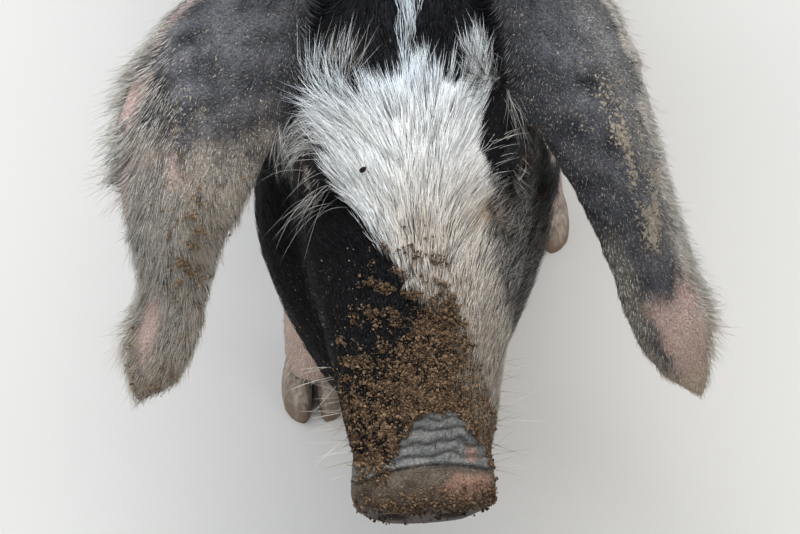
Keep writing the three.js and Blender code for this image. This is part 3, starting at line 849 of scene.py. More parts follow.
@dataclass
class Spots:
    """Places on the pig, with their normals and how much each belongs to each zone."""

    points: Array
    normals: Array | None = None
    weights: dict[Zone, Array] | None = None

    def __post_init__(self) -> None:
        """Finds how far across, back and out each place is on the face, in millimetres."""
        self.x, self.s, self.n = HEAD.local(self.points, twisted=False).T

    @cached_property
    def face(self) -> Array:
        """Returns how much each point belongs to the face."""
        return sum(self.weights[zone] for zone in FACE)

    @cached_property
    def ears(self) -> dict[Zone, EarPlace]:
        """Returns where the points lie on each ear."""
        return {zone: axis.place(self.points) for zone, axis in EARS.items()}

    def noise(self, seed: int, scale: float, octaves: int = 3) -> Array:
        """Returns smooth noise at the points."""
        return SoftNoise(seed, scale, octaves).at(self.points)

    def blotch(self) -> Array:
        """Returns the noise that makes the edges of the ears' patches uneven."""
        return self.noise(15, 0.022)

    def streaks(self, ear: EarPlace) -> Array:
        """Returns noise drawn out along an ear."""
        drawn = self.points + 0.8 * ear.tip_ward * (ear.along * 0.19)[:, None]
        return SoftNoise(20, 0.010, 3).at(drawn)

    def facing(self, ear: EarPlace) -> Array:
        """Returns how squarely the skin faces the same way as an ear's upper side."""
        return np.sum(self.normals * ear.top, axis=1)


@dataclass(frozen=True)
class Patch:
    """One dark patch of the coat: its middle and its half sizes, in metres."""

    middle: Triple
    half: Triple

    def depth(self, points: Array) -> Array:
        """Returns about how far inside the patch each point lies, in millimetres."""
        reach = np.linalg.norm((points - np.array(self.middle)) / np.array(self.half), axis=1)
        return (1 - reach) * float(np.mean(self.half)) / MM


class PiedMarkings:
    """The black, white and grey of the pig, the same for the skin and for the coat."""

    # Edges of the white blaze: distance back along the face, then its right and left edges.
    blaze = (
        (14, 34, 36), (30, 27, 39), (45, 21, 37), (60, 9, 34), (75, -1, 31), (90, -10, 26),
        (105, -19, 24), (119, -26, 23), (133, -25, 24), (146, -26, 30), (158, -31, 37), (170, -33, 40),
        (182, -28, 44),
    )
    # How far back the blaze reaches, from its right edge across to its left.
    blaze_top = (
        (-46, 148), (-36, 157), (-27, 159), (-19, 147), (-14, 141), (-7, 148), (2, 152), (10, 148),
        (17, 147), (24, 151), (30, 157), (38, 161), (48, 152),
    )
    # Edges of the soil on the muzzle: distance back along the face, then its right and left edges.
    soiled = ((0, -29, 31), (15, -32, 30), (34, -38, 25), (57, -28, 17), (72, -22, 13), (95, -12, 9))
    # The silver cheek's inner edge: distance back along the face, then distance across.
    silver_edge = ((30, 39), (60, 35), (75, 31), (90, 27), (105, 25), (119, 25), (133, 27))
    patches = (
        Patch((0.0, -0.20, 0.41), (0.15, 0.15, 0.15)),
        Patch((0.075, 0.305, 0.40), (0.07, 0.105, 0.10)),
        Patch((-0.09, 0.09, 0.385), (0.055, 0.085, 0.065)),
        Patch((-0.10, 0.15, 0.335), (0.045, 0.045, 0.04)),
        Patch((-0.085, 0.33, 0.29), (0.04, 0.045, 0.05)),
        Patch((0.09, -0.02, 0.29), (0.035, 0.045, 0.05)),
        Patch((0.10, 0.14, 0.27), (0.035, 0.028, 0.022)),
        Patch((-0.055, -0.09, 0.17), (0.035, 0.03, 0.035)),
        Patch((0.07, 0.27, 0.17), (0.03, 0.03, 0.025)),
    )

    pink = (0.52, 0.30, 0.245)
    dusty = (0.22, 0.17, 0.13)
    ring = (0.10, 0.09, 0.095)
    black = (0.0045, 0.0047, 0.0055)

    @staticmethod
    def _between(spots: Spots, edges: tuple[Triple, ...]) -> Array:
        """Returns how far each point lies inside a band's right and left edges, in millimetres."""
        back, right, left = np.array(edges).T
        return np.minimum(
            spots.x - np.interp(spots.s, back, right), np.interp(spots.s, back, left) - spots.x
        )

    def face_depth(self, spots: Spots) -> Array:
        """Returns how far inside the black of the head each point lies, in millimetres."""
        x, s = spots.x, spots.s
        rough = 2.6 * spots.noise(3, 0.014) + 1.2 * spots.noise(4, 0.004)
        top_x, top_s = np.array(self.blaze_top).T
        inside = np.minimum(self._between(spots, self.blaze), (np.interp(x, top_x, top_s) - s) * 0.8)
        streak = (1.1 - 0.008 * (s - 165)) - np.abs(x - 1.5 - 0.03 * (s - 165))
        inside = np.where(s > 150, np.maximum(inside, streak), inside)
        brow = (1 - np.hypot((x - 34.5) / 10.5, (s - 132) / 17.5)) * 11
        silver = np.minimum(x - 22 + 7 * ease(132, 124, s), 160 - s) * 0.8
        inside = np.maximum(inside, np.minimum(silver, 6))
        return -np.minimum(inside + rough, -brow + 0.4 * rough)

    def body_depth(self, spots: Spots) -> Array:
        """Returns how far inside a black patch of the body each point lies, in millimetres."""
        rough = 10 * spots.noise(5, 0.06) + 2.5 * spots.noise(6, 0.014)
        freckle = 26 * (spots.noise(8, 0.05, 2) - 1.02)
        deepest = np.max([patch.depth(spots.points) for patch in self.patches], axis=0)
        return np.maximum(deepest + rough, freckle)

    def black_depth(self, spots: Spots) -> Array:
        """Returns how far inside the black each point lies, over the whole animal, in millimetres."""
        ears = sum(spots.weights[zone] for zone in EARS)
        body = np.clip(1 - spots.face - ears, 0, 1)
        return spots.face * self.face_depth(spots) + ears * 14 + body * self.body_depth(spots)

    @staticmethod
    def nose_bare(spots: Spots) -> Array:
        """Returns how bare of hair and soil each point is on the wrinkles over the nose, from 0 to 1."""
        x, s, n = spots.x, spots.s, spots.n
        rough = spots.noise(17, 0.007, 2)
        half = 8.5 + 0.62 * (27 - s)
        middle = 6 + 0.12 * (27 - s)
        inside = ease(1.12, 0.92, np.abs(x - middle) / half + 0.06 * rough) * ease(2, 10, n)
        return inside * ease(30, 27.5, s + 0.8 * rough) * ease(-6, 2, s)

    def soil(self, spots: Spots) -> tuple[Array, Array]:
        """Works out where soil sticks to the muzzle.

        Args:
            spots: the places.

        Returns:
            How thickly it is packed, and how thickly it is sprinkled in loose clumps, from 0 to 1.
        """
        x, s = spots.x, spots.s
        clump = spots.noise(51, 0.0075, 3)
        gap = spots.noise(53, 0.0036, 2)
        inner = ease(-4, 5, self._between(spots, self.soiled) + 2.5 * clump)
        reach = 44 + 24 * ease(-14, 8, x)
        packed = inner * ease(reach + 12, reach - 12, s + 6 * clump) * ease(-14, -8, s)
        packed = packed * (0.45 + 0.55 * ease(-0.5, 0.3, clump)) * (0.2 + 0.8 * ease(-30, 5, x))
        packed = packed * (0.22 + 0.78 * ease(-0.7, 0.3, gap))
        loose = inner * ease(104, 76, s) * ease(0.16, 0.45, clump)
        keep = (1 - self.nose_bare(spots)) * (1 - 0.74 * ease(3, -1, s - disc_edge(x)))
        return packed * keep, loose * keep

    def silver_share(self, spots: Spots) -> Array:
        """Returns how far each point lies in the silver-grey of the left cheek, from 0 to 1."""
        edge = np.interp(spots.s, *np.array(self.silver_edge).T)
        return ease(-3, 5, spots.x - edge + 2 * spots.noise(9, 0.01)) * ease(172, 156, spots.s)

    def hide(self, spots: Spots) -> Array:
        """Returns the linear colour of the bare skin."""
        face, depth = spots.face, self.black_depth(spots)
        height = spots.points[:, 2]
        packed = self.soil(spots)[0] * ease(-2, 8, spots.n)
        colour = layered(
            self.pink,
            ((0.60, 0.40, 0.34), 0.5 + 0.5 * spots.noise(12, 0.02)),
            ((0.56, 0.455, 0.40), 0.55 * (1 - face)),
            (self.dusty, face * ease(-30, 5, spots.n) * 0.85),
            ((0.042, 0.037, 0.033), self.silver_share(spots) * face * 0.9),
            ((0.30, 0.21, 0.15), 0.45 * ease(0.11, 0.02, height) * (1 - face)),
            (self.ring, ease(-11, -4, depth) * (1 - 0.6 * face)),
            (self.black, ease(-4, 1.5, depth)),
            ((0.040, 0.027, 0.018), packed * face * 0.85),
        )
        for zone in EARS:
            colour = mix(colour, self._ear_hide(spots, spots.ears[zone]), spots.weights[zone])
        bare = np.maximum(ease(0.25, 0.8, spots.weights[Zone.SNOUT]), self.nose_bare(spots))
        return mix(colour, self._nose_hide(spots), bare * face)

    @staticmethod
    def _nose_hide(spots: Spots) -> Array:
        """Returns the colour of the bare snout: slate wrinkles, a soiled rim and pink patches, with
        painted shade in the groove at the disc's edge, on its front face and in the nostrils.
        """
        x, s, n = spots.x, spots.s, spots.n
        mottle = spots.noise(13, 0.009)
        grey = mix((0.085, 0.088, 0.088), (0.15, 0.148, 0.142), 0.5 + 0.5 * mottle)
        disc = mix((0.044, 0.033, 0.023), (0.085, 0.065, 0.047), 0.5 + 0.5 * mottle)
        arch = disc_edge(x)
        pink = ease(1.05, 0.3, np.hypot((x - 17) / 13, (s + 1) / 7) + 0.22 * mottle)
        fleck = np.hypot((x - 19) / 4, (s - 11) / 4.5) + 0.2 * mottle
        hole = np.hypot((np.abs(x) - 11.5) / 5.4, (n + 1.5) / 6.2)
        return layered(
            grey,
            (disc, ease(1.5, -1.5, s - arch)),
            # Painted shade: a dark line in the groove along the disc's upper edge.
            ((0.012, 0.011, 0.010), 0.8 * bell(s, arch, 0.7)),
            # Painted shade: the disc's front face is darker than its top.
            ((0.038, 0.024, 0.018), ease(-5, -9, s)),
            ((0.29, 0.165, 0.125), np.maximum(pink, 0.8 * ease(0.9, 0.5, fleck)) * 0.66),
            # Painted shade: darker inside the nostrils.
            ((0.035, 0.018, 0.018), ease(1.1, 0.7, hole) * ease(-2, -8, s)),
        )

    def _ear_hide(self, spots: Spots, ear: EarPlace) -> Array:
        """Returns the colour of an ear: slate above, with pink where the pigment gives out, painted
        shade towards its base and inner edge, and a painted sheen across the left ear.
        """
        along, across = ear.along, ear.across
        mottle, blotch = spots.noise(14, 0.012), spots.blotch()
        colour = mix((0.020, 0.021, 0.025), (0.092, 0.093, 0.103), 0.5 + 0.5 * mottle)
        shaded = ease(0.20, 0.04, along) * 0.5 + 0.5 * ease(0.15, 0.85, -across)
        colour = mix(colour, (0.008, 0.008, 0.010), shaded)
        if ear.left:
            # A painted sheen: a lighter band across the middle of the left ear's upper side.
            painted_sheen = bell(across, 0.38, 0.28) * ease(0.08, 0.2, along) * ease(0.72, 0.6, along)
            band = ease(-0.1, 0.1, across + 0.08 * blotch - ear.rim) * ease(0.06, 0.2, along)
            colour = layered(
                colour,
                ((0.17, 0.166, 0.16), 0.55 * painted_sheen),
                ((0.165, 0.15, 0.125), 0.85 * ease(0.45, 0.8, -across) * ease(0.50, 0.68, along)),
                ((0.42, 0.38, 0.33), band * 0.85),
                ((0.33, 0.255, 0.19), ease(0.84, 0.94, along)),
            )
        else:
            notch = 0.06 * across + 0.07 * bell(across, 0.12, 0.16)
            lower = ease(0.31, 0.46, along + 0.05 * blotch - notch)
            mixed = ease(-0.6, 0.15, spots.streaks(ear) - 0.4 * across)
            patchy = mix((0.060, 0.062, 0.068), (0.30, 0.255, 0.21), mixed)
            patchy = mix(patchy, (0.42, 0.38, 0.33), 0.5 * bell(along, 0.50, 0.12))
            colour = mix(colour, patchy, lower * 0.9)
        blush = (0.41, 0.285, 0.245) if ear.left else (0.46, 0.335, 0.30)
        colour = mix(colour, blush, self.ear_pink(spots, ear) * 0.88)
        under = mix((0.40, 0.235, 0.20), (0.24, 0.16, 0.15), 0.5 + 0.5 * mottle)
        return mix(under, colour, ease(-0.1, 0.25, spots.facing(ear)))

    @staticmethod
    def ear_pink(spots: Spots, ear: EarPlace) -> Array:
        """Returns how pink the upper side of an ear is, from 0 to 1."""
        along, across, blotch = ear.along, ear.across, spots.blotch()
        if ear.left:
            pink = ease(0.70, 0.735, along + 0.02 * across + 0.015 * blotch) * ease(0.96, 0.88, along)
            sides = ease(-0.66, -0.46, across + 0.10 * blotch) * ease(0.72, 0.38, across + 0.15 * blotch)
            return pink * sides
        bar = ease(0.1, 0.5, blotch + 0.35) * bell(along, 0.45, 0.035) * bell(across, 0.05, 0.36)
        band = ease(0.60, 0.67, across) * ease(0.92, 0.86, across) * ease(0.29, 0.35, along)
        band = band * ease(0.66, 0.58, along) * ease(0.75, 0.35, blotch)
        tip = ease(0.9, 0.4, np.hypot((across - 0.30) / 0.5, (along - 0.81) / 0.14))
        return np.max([bar, band, tip, bell(across, 0.86, 0.10) * ease(0.32, 0.2, along) * 0.8], axis=0)

    @staticmethod
    def brow_share(points: Array) -> Array:
        """Returns how strongly the pale hairs over the right eye grow at each point, from 0 to 1."""
        rx, rs, _ = (HEAD.local(points) - RIGHT_EYE.centre).T
        return 0.22 * bell(np.hypot(rx + 2, rs - 12), 0, 9) * ease(0, 6, rs)

    def hair(self, spots: Spots, rng: Random) -> Array:
        """Works out the linear colour of hairs.

        Args:
            spots: the hairs' roots.
            rng: the source of chance.

        Returns:
            One colour per hair.
        """
        count = len(spots.points)
        x, s, face = spots.x, spots.s, spots.face
        depth = self.black_depth(spots) + rng.normal(0, 1.1, count)
        white = mix((0.90, 0.93, 0.955), (0.64, 0.63, 0.60), rng.random(count) ** 1.2)
        shadow = ease(126, 150, s) * (1 - 0.45 * ease(0, 16, x)) * face
        white = mix(white, white * (0.68, 0.74, 0.79), shadow)
        # Lower on the face the white turns cream, then darker towards the muzzle: partly dust, partly
        # painted shade.
        cream = ease(132, 80, s + 10 * spots.noise(16, 0.03)) * ease(-16, 4, x) * face
        white = mix(white, (0.56, 0.47, 0.37), np.clip(cream * rng.uniform(0.35, 1.0, count), 0, 1))
        white = mix(white, (0.32, 0.295, 0.24), ease(82, 44, s) * face * rng.uniform(0.5, 1.0, count))
        silver = mix((0.50, 0.485, 0.455), (0.16, 0.15, 0.135), rng.random(count))
        silver = mix(silver, (0.020, 0.018, 0.016), rng.random(count) < 0.55)
        shaded = 0.75 * bell(s, 114, 11) * ease(24, 28, x)
        shaded = np.maximum(ease(38, 48, x) * ease(82, 104, s), shaded)
        silver = mix(silver, (0.012, 0.010, 0.008), 0.8 * shaded)
        crown = ease(140, 154, s) * ease(12, 22, np.abs(x)) * np.where(x > 0, 0.10, 0.82)
        white = mix(white, silver, (rng.random(count) < crown) * face)
        white = mix(white, silver, self.silver_share(spots) * face * ease(40, 62, s))
        white = mix(white, (0.11, 0.075, 0.045), 0.8 * np.clip(self.soil(spots)[0] * 1.3, 0, 1) * face)
        stained = ease(0.16, 0.02, spots.points[:, 2]) * (1 - face)
        white = layered(
            white, ((0.42, 0.33, 0.24), 0.5 * stained), ((0.66, 0.62, 0.56), 0.5 * (1 - face))
        )
        dark = mix((0.0022, 0.0022, 0.0028), (0.030, 0.032, 0.038), rng.random(count) ** 5)
        pale_brow = rng.random(count) < 0.85 * self.brow_share(spots.points) * face
        depth = np.where(pale_brow, -5.0, depth)
        colour = mix(white, dark, depth > 0)
        for zone in EARS:
            mine = spots.weights[zone] > 0.5
            colour = mix(colour, self._ear_hair(spots, zone, rng), mine)
        tear = np.clip(bell(np.hypot(x - 24.0, s - 98), 0, 3.6) * face * 1.6, 0, 1)
        colour = mix(colour, (0.25, 0.15, 0.065), tear * (rng.random(count) < 0.85))
        spot = bell(np.hypot(x - 27.5, s - 93), 0, 2.8) * face * 0.9
        colour = mix(colour, (0.028, 0.018, 0.010), spot)
        return mix(colour, (0.05, 0.045, 0.04), (rng.random(count) < 0.03) & (depth < 0))

    def _ear_hair(self, spots: Spots, zone: Zone, rng: Random) -> Array:
        """Works out the colour of an ear's hairs, silvery over slate and pale at the rim, darker near
        the base as painted shade, with a painted sheen across the left ear.

        Args:
            spots: the hairs' roots.
            zone: the ear.
            rng: the source of chance.

        Returns:
            One colour per hair.
        """
        ear, blotch, count = spots.ears[zone], spots.blotch(), len(spots.points)
        along, across = ear.along, ear.across
        dark = mix((0.022, 0.023, 0.027), (0.36, 0.355, 0.36), rng.random(count) ** 2.1)
        # Painted shade: the hairs are darker near the ear's base.
        dark = mix(dark, (0.012, 0.012, 0.014), ease(0.22, 0.06, along) * 0.6)
        pale = mix((0.80, 0.78, 0.74), (0.42, 0.38, 0.31), rng.random(count))
        if ear.left:
            fringe = ease(-0.1, 0.05, across + 0.08 * blotch - ear.rim) * ease(0.03, 0.12, along)
            lights = (
                ease(0.68, 0.75, along + 0.03 * blotch) * ease(-0.65, -0.35, across),
                ease(0.86, 0.93, along),
                fringe,
                0.55 * ease(0.45, 0.8, -across) * ease(0.50, 0.68, along),
                # Painted sheen: more pale hairs in a band across the middle of the left ear.
                0.30 * bell(across, 0.38, 0.28) * ease(0.08, 0.2, along),
            )
            pale = mix(pale, (0.47, 0.375, 0.27), 0.75 * ease(0.72, 0.9, along))
        else:
            lower = ease(0.28, 0.52, along + 0.05 * blotch - 0.06 * across)
            edge = across - 0.80 + 4.0 * (along - 0.19) + 0.15 * blotch
            lights = (
                lower * (0.50 + 0.45 * ease(-0.7, 0.2, spots.streaks(ear))),
                0.85 * ease(-0.35, 0.35, edge) * ease(0.0, 0.08, along),
            )
            tan = 0.5 * bell(along, 0.52, 0.16) * ease(-0.1, -0.6, across)
            tan = np.clip(ease(0.55, 0.95, along) * 0.6 + tan, 0, 0.8)
            pale = mix(pale, (0.52, 0.43, 0.32), tan)
        light = np.max([*lights, ease(0.3, -0.2, spots.facing(ear))], axis=0)
        colour = mix(dark, pale, rng.random(count) < light)
        muddy = rng.random(count) < 0.8 * self.ear_dust(spots, zone)
        return mix(colour, (0.34, 0.28, 0.20), 0.85 * muddy)

    @staticmethod
    def ear_dust(spots: Spots, zone: Zone) -> Array:
        """Returns how thickly fine dry mud is rubbed into an ear, from 0 to 1."""
        ear = spots.ears[zone]
        along, across = ear.along, ear.across
        clump = spots.noise(18, 0.009, 3)
        if ear.left:
            cakes = (
                1.1 * bell(along, 0.57, 0.055) * bell(across, 0.06, 0.34),
                0.56 * bell(along, 0.38, 0.12) * bell(across, 0.10, 0.42),
                0.75 * bell(along, 0.50, 0.05) * bell(across, 0.42, 0.16),
            )
            uneven = 0.28 * clump * ease(0.12, 0.3, along) - 0.12
        else:
            cakes = (
                0.45 * bell(along, 0.36, 0.07) * bell(across, 0.15, 0.3),
                0.4 * bell(along, 0.56, 0.14) * bell(across, -0.55, 0.3),
            )
            uneven = 0.22 * clump - 0.1
        return np.clip(np.max(cakes, axis=0) + uneven, 0, 1)


@dataclass
class CoatFields:
    """How the coat lies, and how long, thick and dense it is, at every corner of the skin."""

    skin: PigSkin
    markings: PiedMarkings

    def __post_init__(self) -> None:
        """Works out the fields over the skin."""
        self.spots = self.skin.spots
        self.local = HEAD.local(self.spots.points)
        self.black = ease(-1.0, 1.0, self.markings.black_depth(self.spots))
        self.flow = self._flow()
        self._measure()

    def _head_flow(self) -> Array:
        """Returns the lie of the hair on the head: back from the snout, fanning on the forehead."""
        x, s, n = self.local.T
        muzzle = rows(0.5 * x, 60.0, 0.35 * (n + 4))
        lean = np.where(x > 0, 1.0, 1.45)
        spread = np.arctan2(lean * x, np.maximum(s - 62, 42)) * (1 - 0.85 * ease(118, 165, s))
        spread -= np.where(x > 0, 1.5, -1.4) * ease(19, 31, np.abs(x)) * ease(130, 154, s)
        fan = rows(np.sin(spread), np.cos(spread), 0.0)
        cheek = rows(0.55 * x, 62.0, -0.25 * np.abs(x) - 6)
        top = ease(-2, 14, n - 0.1 * (s - 60))[:, None]
        back = ease(60, 105, s)[:, None]
        flow = unit(unit(muzzle) * (1 - back) + (unit(fan) * top + unit(cheek) * (1 - top)) * back)
        for seat, strength in zip(SEATS, (0.5, 0.95)):
            side = seat.side
            rx, rs, _ = (self.local - seat.centre).T
            swirl = rows(side * (rs + 2), -side * rx * 0.9, -0.4 * np.abs(rx) - 4)
            near = bell(np.hypot(rx - 2 * side, rs - 6), 13, 11) * ease(-8, 6, rs)
            near = (near * ease(-25, 0, side * rx + 12) * strength)[:, None]
            flow = flow * (1 - near) + unit(swirl) * near
        return unit(flow) @ HEAD.axes()

    def _flow(self) -> Array:
        """Returns the direction in which the hair lies at each corner."""
        spots, w = self.spots, {zone: weight[:, None] for zone, weight in self.spots.weights.items()}
        flank = 1 - np.abs(spots.normals[:, 2])
        body = rows(0.0, 1.0, -0.45 * flank - 0.05)
        neck = rows(0.3 * spots.points[:, 0] / 0.08, 1.0, -0.35 * flank)
        legs = np.array([0.0, 0.25, -1.0])
        hub = np.mean([np.array(corner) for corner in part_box("tail_base")], axis=0)
        _, y, z = (spots.points - hub).T
        turn = np.arctan2(y - 0.004, z + 0.004)
        tail = rows(0.2, np.cos(turn), -np.sin(turn))
        flow = w[Zone.TRUNK] * unit(body) + w[Zone.NECK] * unit(neck) + w[Zone.TAIL] * tail
        flow += (w[Zone.LEG_TOP] + w[Zone.LEG_LOW]) * unit(legs)
        flow += spots.face[:, None] * self._head_flow()
        for zone, ear in spots.ears.items():
            outer, inner = (np.clip(sign * ear.across - 0.42, 0, 0.5) for sign in (1, -1))
            swept = 5.5 * outer if ear.left else 1.3 * outer + 11 * np.clip(ear.across - 0.74, 0, 0.3)
            splay = 0.10 * ear.across + swept * ease(1.0, 0.8, ear.along) - 0.9 * inner
            flow += w[zone] * unit(ear.tip_ward + splay[:, None] * ear.edge_ward)
        flow = self.skin.surface.average(flatten(flow, spots.normals), 6, 0.8)
        return flatten(flow, spots.normals)

    def _ear_coat(self) -> Array:
        """Returns rows for the ears: the hair's length, how much is fringe, and how pink the skin is."""
        rows = np.zeros((3, len(self.local)))
        for zone, ear in self.spots.ears.items():
            along, across, weight = ear.along, ear.across, self.spots.weights[zone]
            outer = ease(-0.1, 0.2, across - ear.rim) * ease(0.03, 0.12, along)
            inner = ease(0.80, 1.0, -across) * ease(0.35, 0.5, along)
            full = 1.5 + 0.8 * ease(0.3, 0.6, along) + 2.5 * ease(0.74, 0.85, along)
            full += 6.0 * outer + 2.0 * inner
            if ear.left:
                full += 3.5 * outer
            else:
                shaggy = ease(-0.25, 0.25, across - 0.80 + 4.0 * (along - 0.19))
                shaggy = np.maximum(ease(0.33, 0.56, along - 0.06 * across), shaggy)
                full += 5.0 * shaggy + 2.5 * ease(0.7, 0.9, across) - 2.5 * ease(0.74, 0.95, along)
            pink = weight * self.markings.ear_pink(self.spots, ear) * (0.45 if ear.left else 1.0)
            fringe = weight * np.maximum(outer, 0.5 * inner)
            rows += [weight * full * (1 - 0.5 * pink), fringe, pink]
        return rows

    def _measure(self) -> None:
        """Works out length, width, lift, curl and density, in millimetres."""
        spots, markings, w = self.spots, self.markings, self.spots.weights
        x, s, n = self.local.T
        white, head = 1 - self.black, w[Zone.HEAD]
        silver, bare = markings.silver_share(spots), markings.nose_bare(spots)
        legs, body = w[Zone.LEG_TOP] + w[Zone.LEG_LOW], w[Zone.TRUNK] + w[Zone.NECK]
        ears = sum(w[zone] for zone in EARS)
        back = ease(62, 112, s)
        away = np.min([np.linalg.norm(self.local - seat.centre, axis=1) for seat in SEATS], axis=0)
        lids = ease(15.1, 12.1, away)
        rx, rs, _ = (self.local - RIGHT_EYE.centre).T
        brow = bell(np.hypot(rx - 3, rs - 14), 6, 9)

        length = 3.8 + 2.6 * white + back * (white * 11 + self.black * 2.4 - silver * 5.0)
        length += 5 * bell(x, 3, 9) * ease(150, 185, s) * white
        length += 8 * ease(143, 157, s) * ease(18, 30, np.abs(x)) + 3 * ease(165, 190, s)
        length += 3.5 * ease(0, -30, n) * ease(40, 90, s) + 8 * brow
        length = head * (length * (1 - lids) + 1.6 * lids)
        ear_length, ear_edge, blush = self._ear_coat()
        crest, belly = ease(0.5, 0.95, spots.normals[:, 2]), ease(-0.3, -0.8, spots.normals[:, 2])
        length += w[Zone.TRUNK] * (21 + crest * 6 - belly * 8) + w[Zone.NECK] * 19 + w[Zone.TAIL] * 9
        length += w[Zone.LEG_TOP] * 13 + w[Zone.LEG_LOW] * 7.5 + w[Zone.JAW] * 9 + w[Zone.SNOUT] * 1.4
        self.length = length + ear_length

        self.width = 0.25 * head + 0.34 * w[Zone.JAW] + 0.22 * w[Zone.SNOUT] + 0.21 * ears + 0.42 * legs
        self.width += 0.56 * body + 0.40 * w[Zone.TAIL] + head * (0.05 * white * back - 0.08 * lids)
        self.lift = 0.15 + head * (0.08 * back * white + 0.05 * silver - 0.05 * self.black * (1 - brow))
        self.lift += 0.14 * brow + 0.10 * ear_edge
        self.curl = 0.25 + 1.5 * silver * head + 0.8 * brow

        density = head * (0.75 + 0.6 * back * white + 0.15 * silver) * (1 - 0.97 * bare)
        density += 0.8 * bell(x, 22, 5) * bell(s, 108, 9) * head
        density += 0.10 * w[Zone.SNOUT] * (1 - bare) * ease(-8, 2, s)
        density += (ears * 0.8 + 0.5 * ear_edge) * (1 - 0.88 * blush)
        density += 0.5 * w[Zone.JAW] + 0.35 * legs + 0.3 * body + 0.5 * w[Zone.TAIL]
        self.density = density * (1 - 0.6 * ease(11.5, 9.5, away))


@dataclass
class RootMap:
    """An unwrap of the skin's own shape, which gives each hair its place on the colour map."""

    skin: PigSkin
    faces: int = 7000

    def __post_init__(self) -> None:
        """Unwraps a coarse copy of the skin."""
        surface = self.skin.surface
        holder = new_piece("unwrap", surface.points, surface.faces)
        holder = show(modified(holder, "DECIMATE", ratio=self.faces / len(surface.faces)))
        view = bpy.context.view_layer
        for other in view.objects.selected:
            other.select_set(False)
        view.objects.active = holder
        holder.select_set(True)
        bpy.ops.object.mode_set(mode="EDIT")
        bpy.ops.mesh.select_all(action="SELECT")
        bpy.ops.uv.smart_project(angle_limit=math.radians(66), island_margin=0.004)
        bpy.ops.object.mode_set(mode="OBJECT")
        mesh = holder.data
        coarse = Surface.of(mesh)
        loops = np.empty(len(mesh.loop_triangles) * 3, dtype=np.int32)
        mesh.loop_triangles.foreach_get("loops", loops)
        spots = np.empty(len(mesh.loops) * 2)
        mesh.uv_layers.active.data.foreach_get("uv", spots)
        self._corners = coarse.points[coarse.faces]
        self._spots = spots.reshape(-1, 2)[loops.reshape(-1, 3)]
        self._tree = coarse.tree()
        bpy.data.objects.remove(holder)
        bpy.data.meshes.remove(mesh)

    def at(self, points: Array) -> Array:
        """Returns the place on the unwrap nearest to each point."""
        near, _, face = nearest(self._tree, points)
        a, b, c = (self._corners[face, k] for k in range(3))
        whole = np.linalg.norm(np.cross(b - a, c - a), axis=1) + 1e-15
        share_a = np.linalg.norm(np.cross(b - near, c - near), axis=1) / whole
        share_b = np.linalg.norm(np.cross(c - near, a - near), axis=1) / whole
        shares = rows(share_a, share_b, np.clip(1 - share_a - share_b, 0, 1))
        return np.einsum("ij,ijk->ik", shares / shares.sum(axis=1, keepdims=True), self._spots[face])


@dataclass(frozen=True)
class Strands:
    """Many tapered three-sided hairs, which become one piece."""

    paths: Array  # for each hair, its points from root to tip
    up: Array  # for each hair, the direction away from the skin
    widths: Array
    colours: Array
    roots: Array
    flat: float = 0.62  # the hair's thickness as a share of its width
    spot: float = 0.003  # the size of a hair's place on the map
    shades: Pair = (0.72, 1.08)  # painted shade at the root and painted light at the tip, as shares of the hair's colour

    def _corners(self, share: Array) -> Array:
        """Returns every hair's corners, ring by ring, and its tip, for the rings' places along it."""
        count, rings = len(self.paths), len(share) - 1
        tangent = unit(np.gradient(self.paths, axis=1))
        side = unit(np.cross(tangent, self.up[:, None, :]))
        rise = np.cross(tangent, side)
        taper = (1 - share**1.7)[:rings] * np.where(share[:rings] == 0, 0.85, 1.0)
        half = (self.widths[:, None] * taper[None, :] / 2)[:, :, None]
        corners = np.empty((count, rings, 3, 3))
        for k, angle in enumerate(np.radians([90, 210, 330])):
            reach = side[:, :rings] * math.cos(angle) + rise[:, :rings] * math.sin(angle) * self.flat
            corners[:, :, k] = self.paths[:, :rings] + reach * half * 1.15
        return np.concatenate([corners.reshape(count, rings * 3, 3), self.paths[:, -1:, :]], axis=1)

    @staticmethod
    def _template(rings: int) -> Array:
        """Returns the faces of one hair with this many rings."""
        faces = [(0, 2, 1)]
        for a in range(rings * 3 - 3):
            b = a + 1 if a % 3 < 2 else a - 2
            faces += [(a, b, b + 3), (a, b + 3, a + 3)]
        last = rings * 3 - 3
        return np.array(faces + [(last + k, last + (k + 1) % 3, rings * 3) for k in range(3)])

    def piece(self, name: str, root_map: RootMap) -> Object:
        """Makes the piece.

        Args:
            name: the piece's name.
            root_map: the skin's unwrap.

        Returns:
            The piece, with its colours and its map.
        """
        share = np.linspace(0, 1, self.paths.shape[1])
        rings = len(share) - 1
        starts = np.arange(len(self.paths)) * (rings * 3 + 1)
        faces = (self._template(rings)[None] + starts[:, None, None]).reshape(-1, 3)
        piece = new_piece(name, self._corners(share).reshape(-1, 3), faces)
        level = np.append(np.repeat(share[:rings], 3), 1.0)
        # Painted shade darkens each hair at its root, and painted light brightens it at its tip.
        shade = self.shades[0] + (self.shades[1] - self.shades[0]) * level
        paint(piece, "coat", (self.colours[:, None, :] * shade[None, :, None]).reshape(-1, 3))
        spread = rows(np.append(np.tile([0.0, 0.5, 1.0], rings), 0.5), level) - 0.5
        places = root_map.at(self.roots)
        map_corners(piece, places[:, None, :] + spread[None] * self.spot, faces)
        return piece


@dataclass(frozen=True)
class CoatArea:
    """One piece of the coat: where it grows, and how many hairs it has."""

    name: str
    zones: tuple[Zone, ...]
    count: int
    seed: int
    side: int = 0
    facing: Pair = (-2.0, 2.0)
    reach: Pair = (-math.inf, math.inf)
    gather: float = 0.24
    slot: str = "pied_hide"


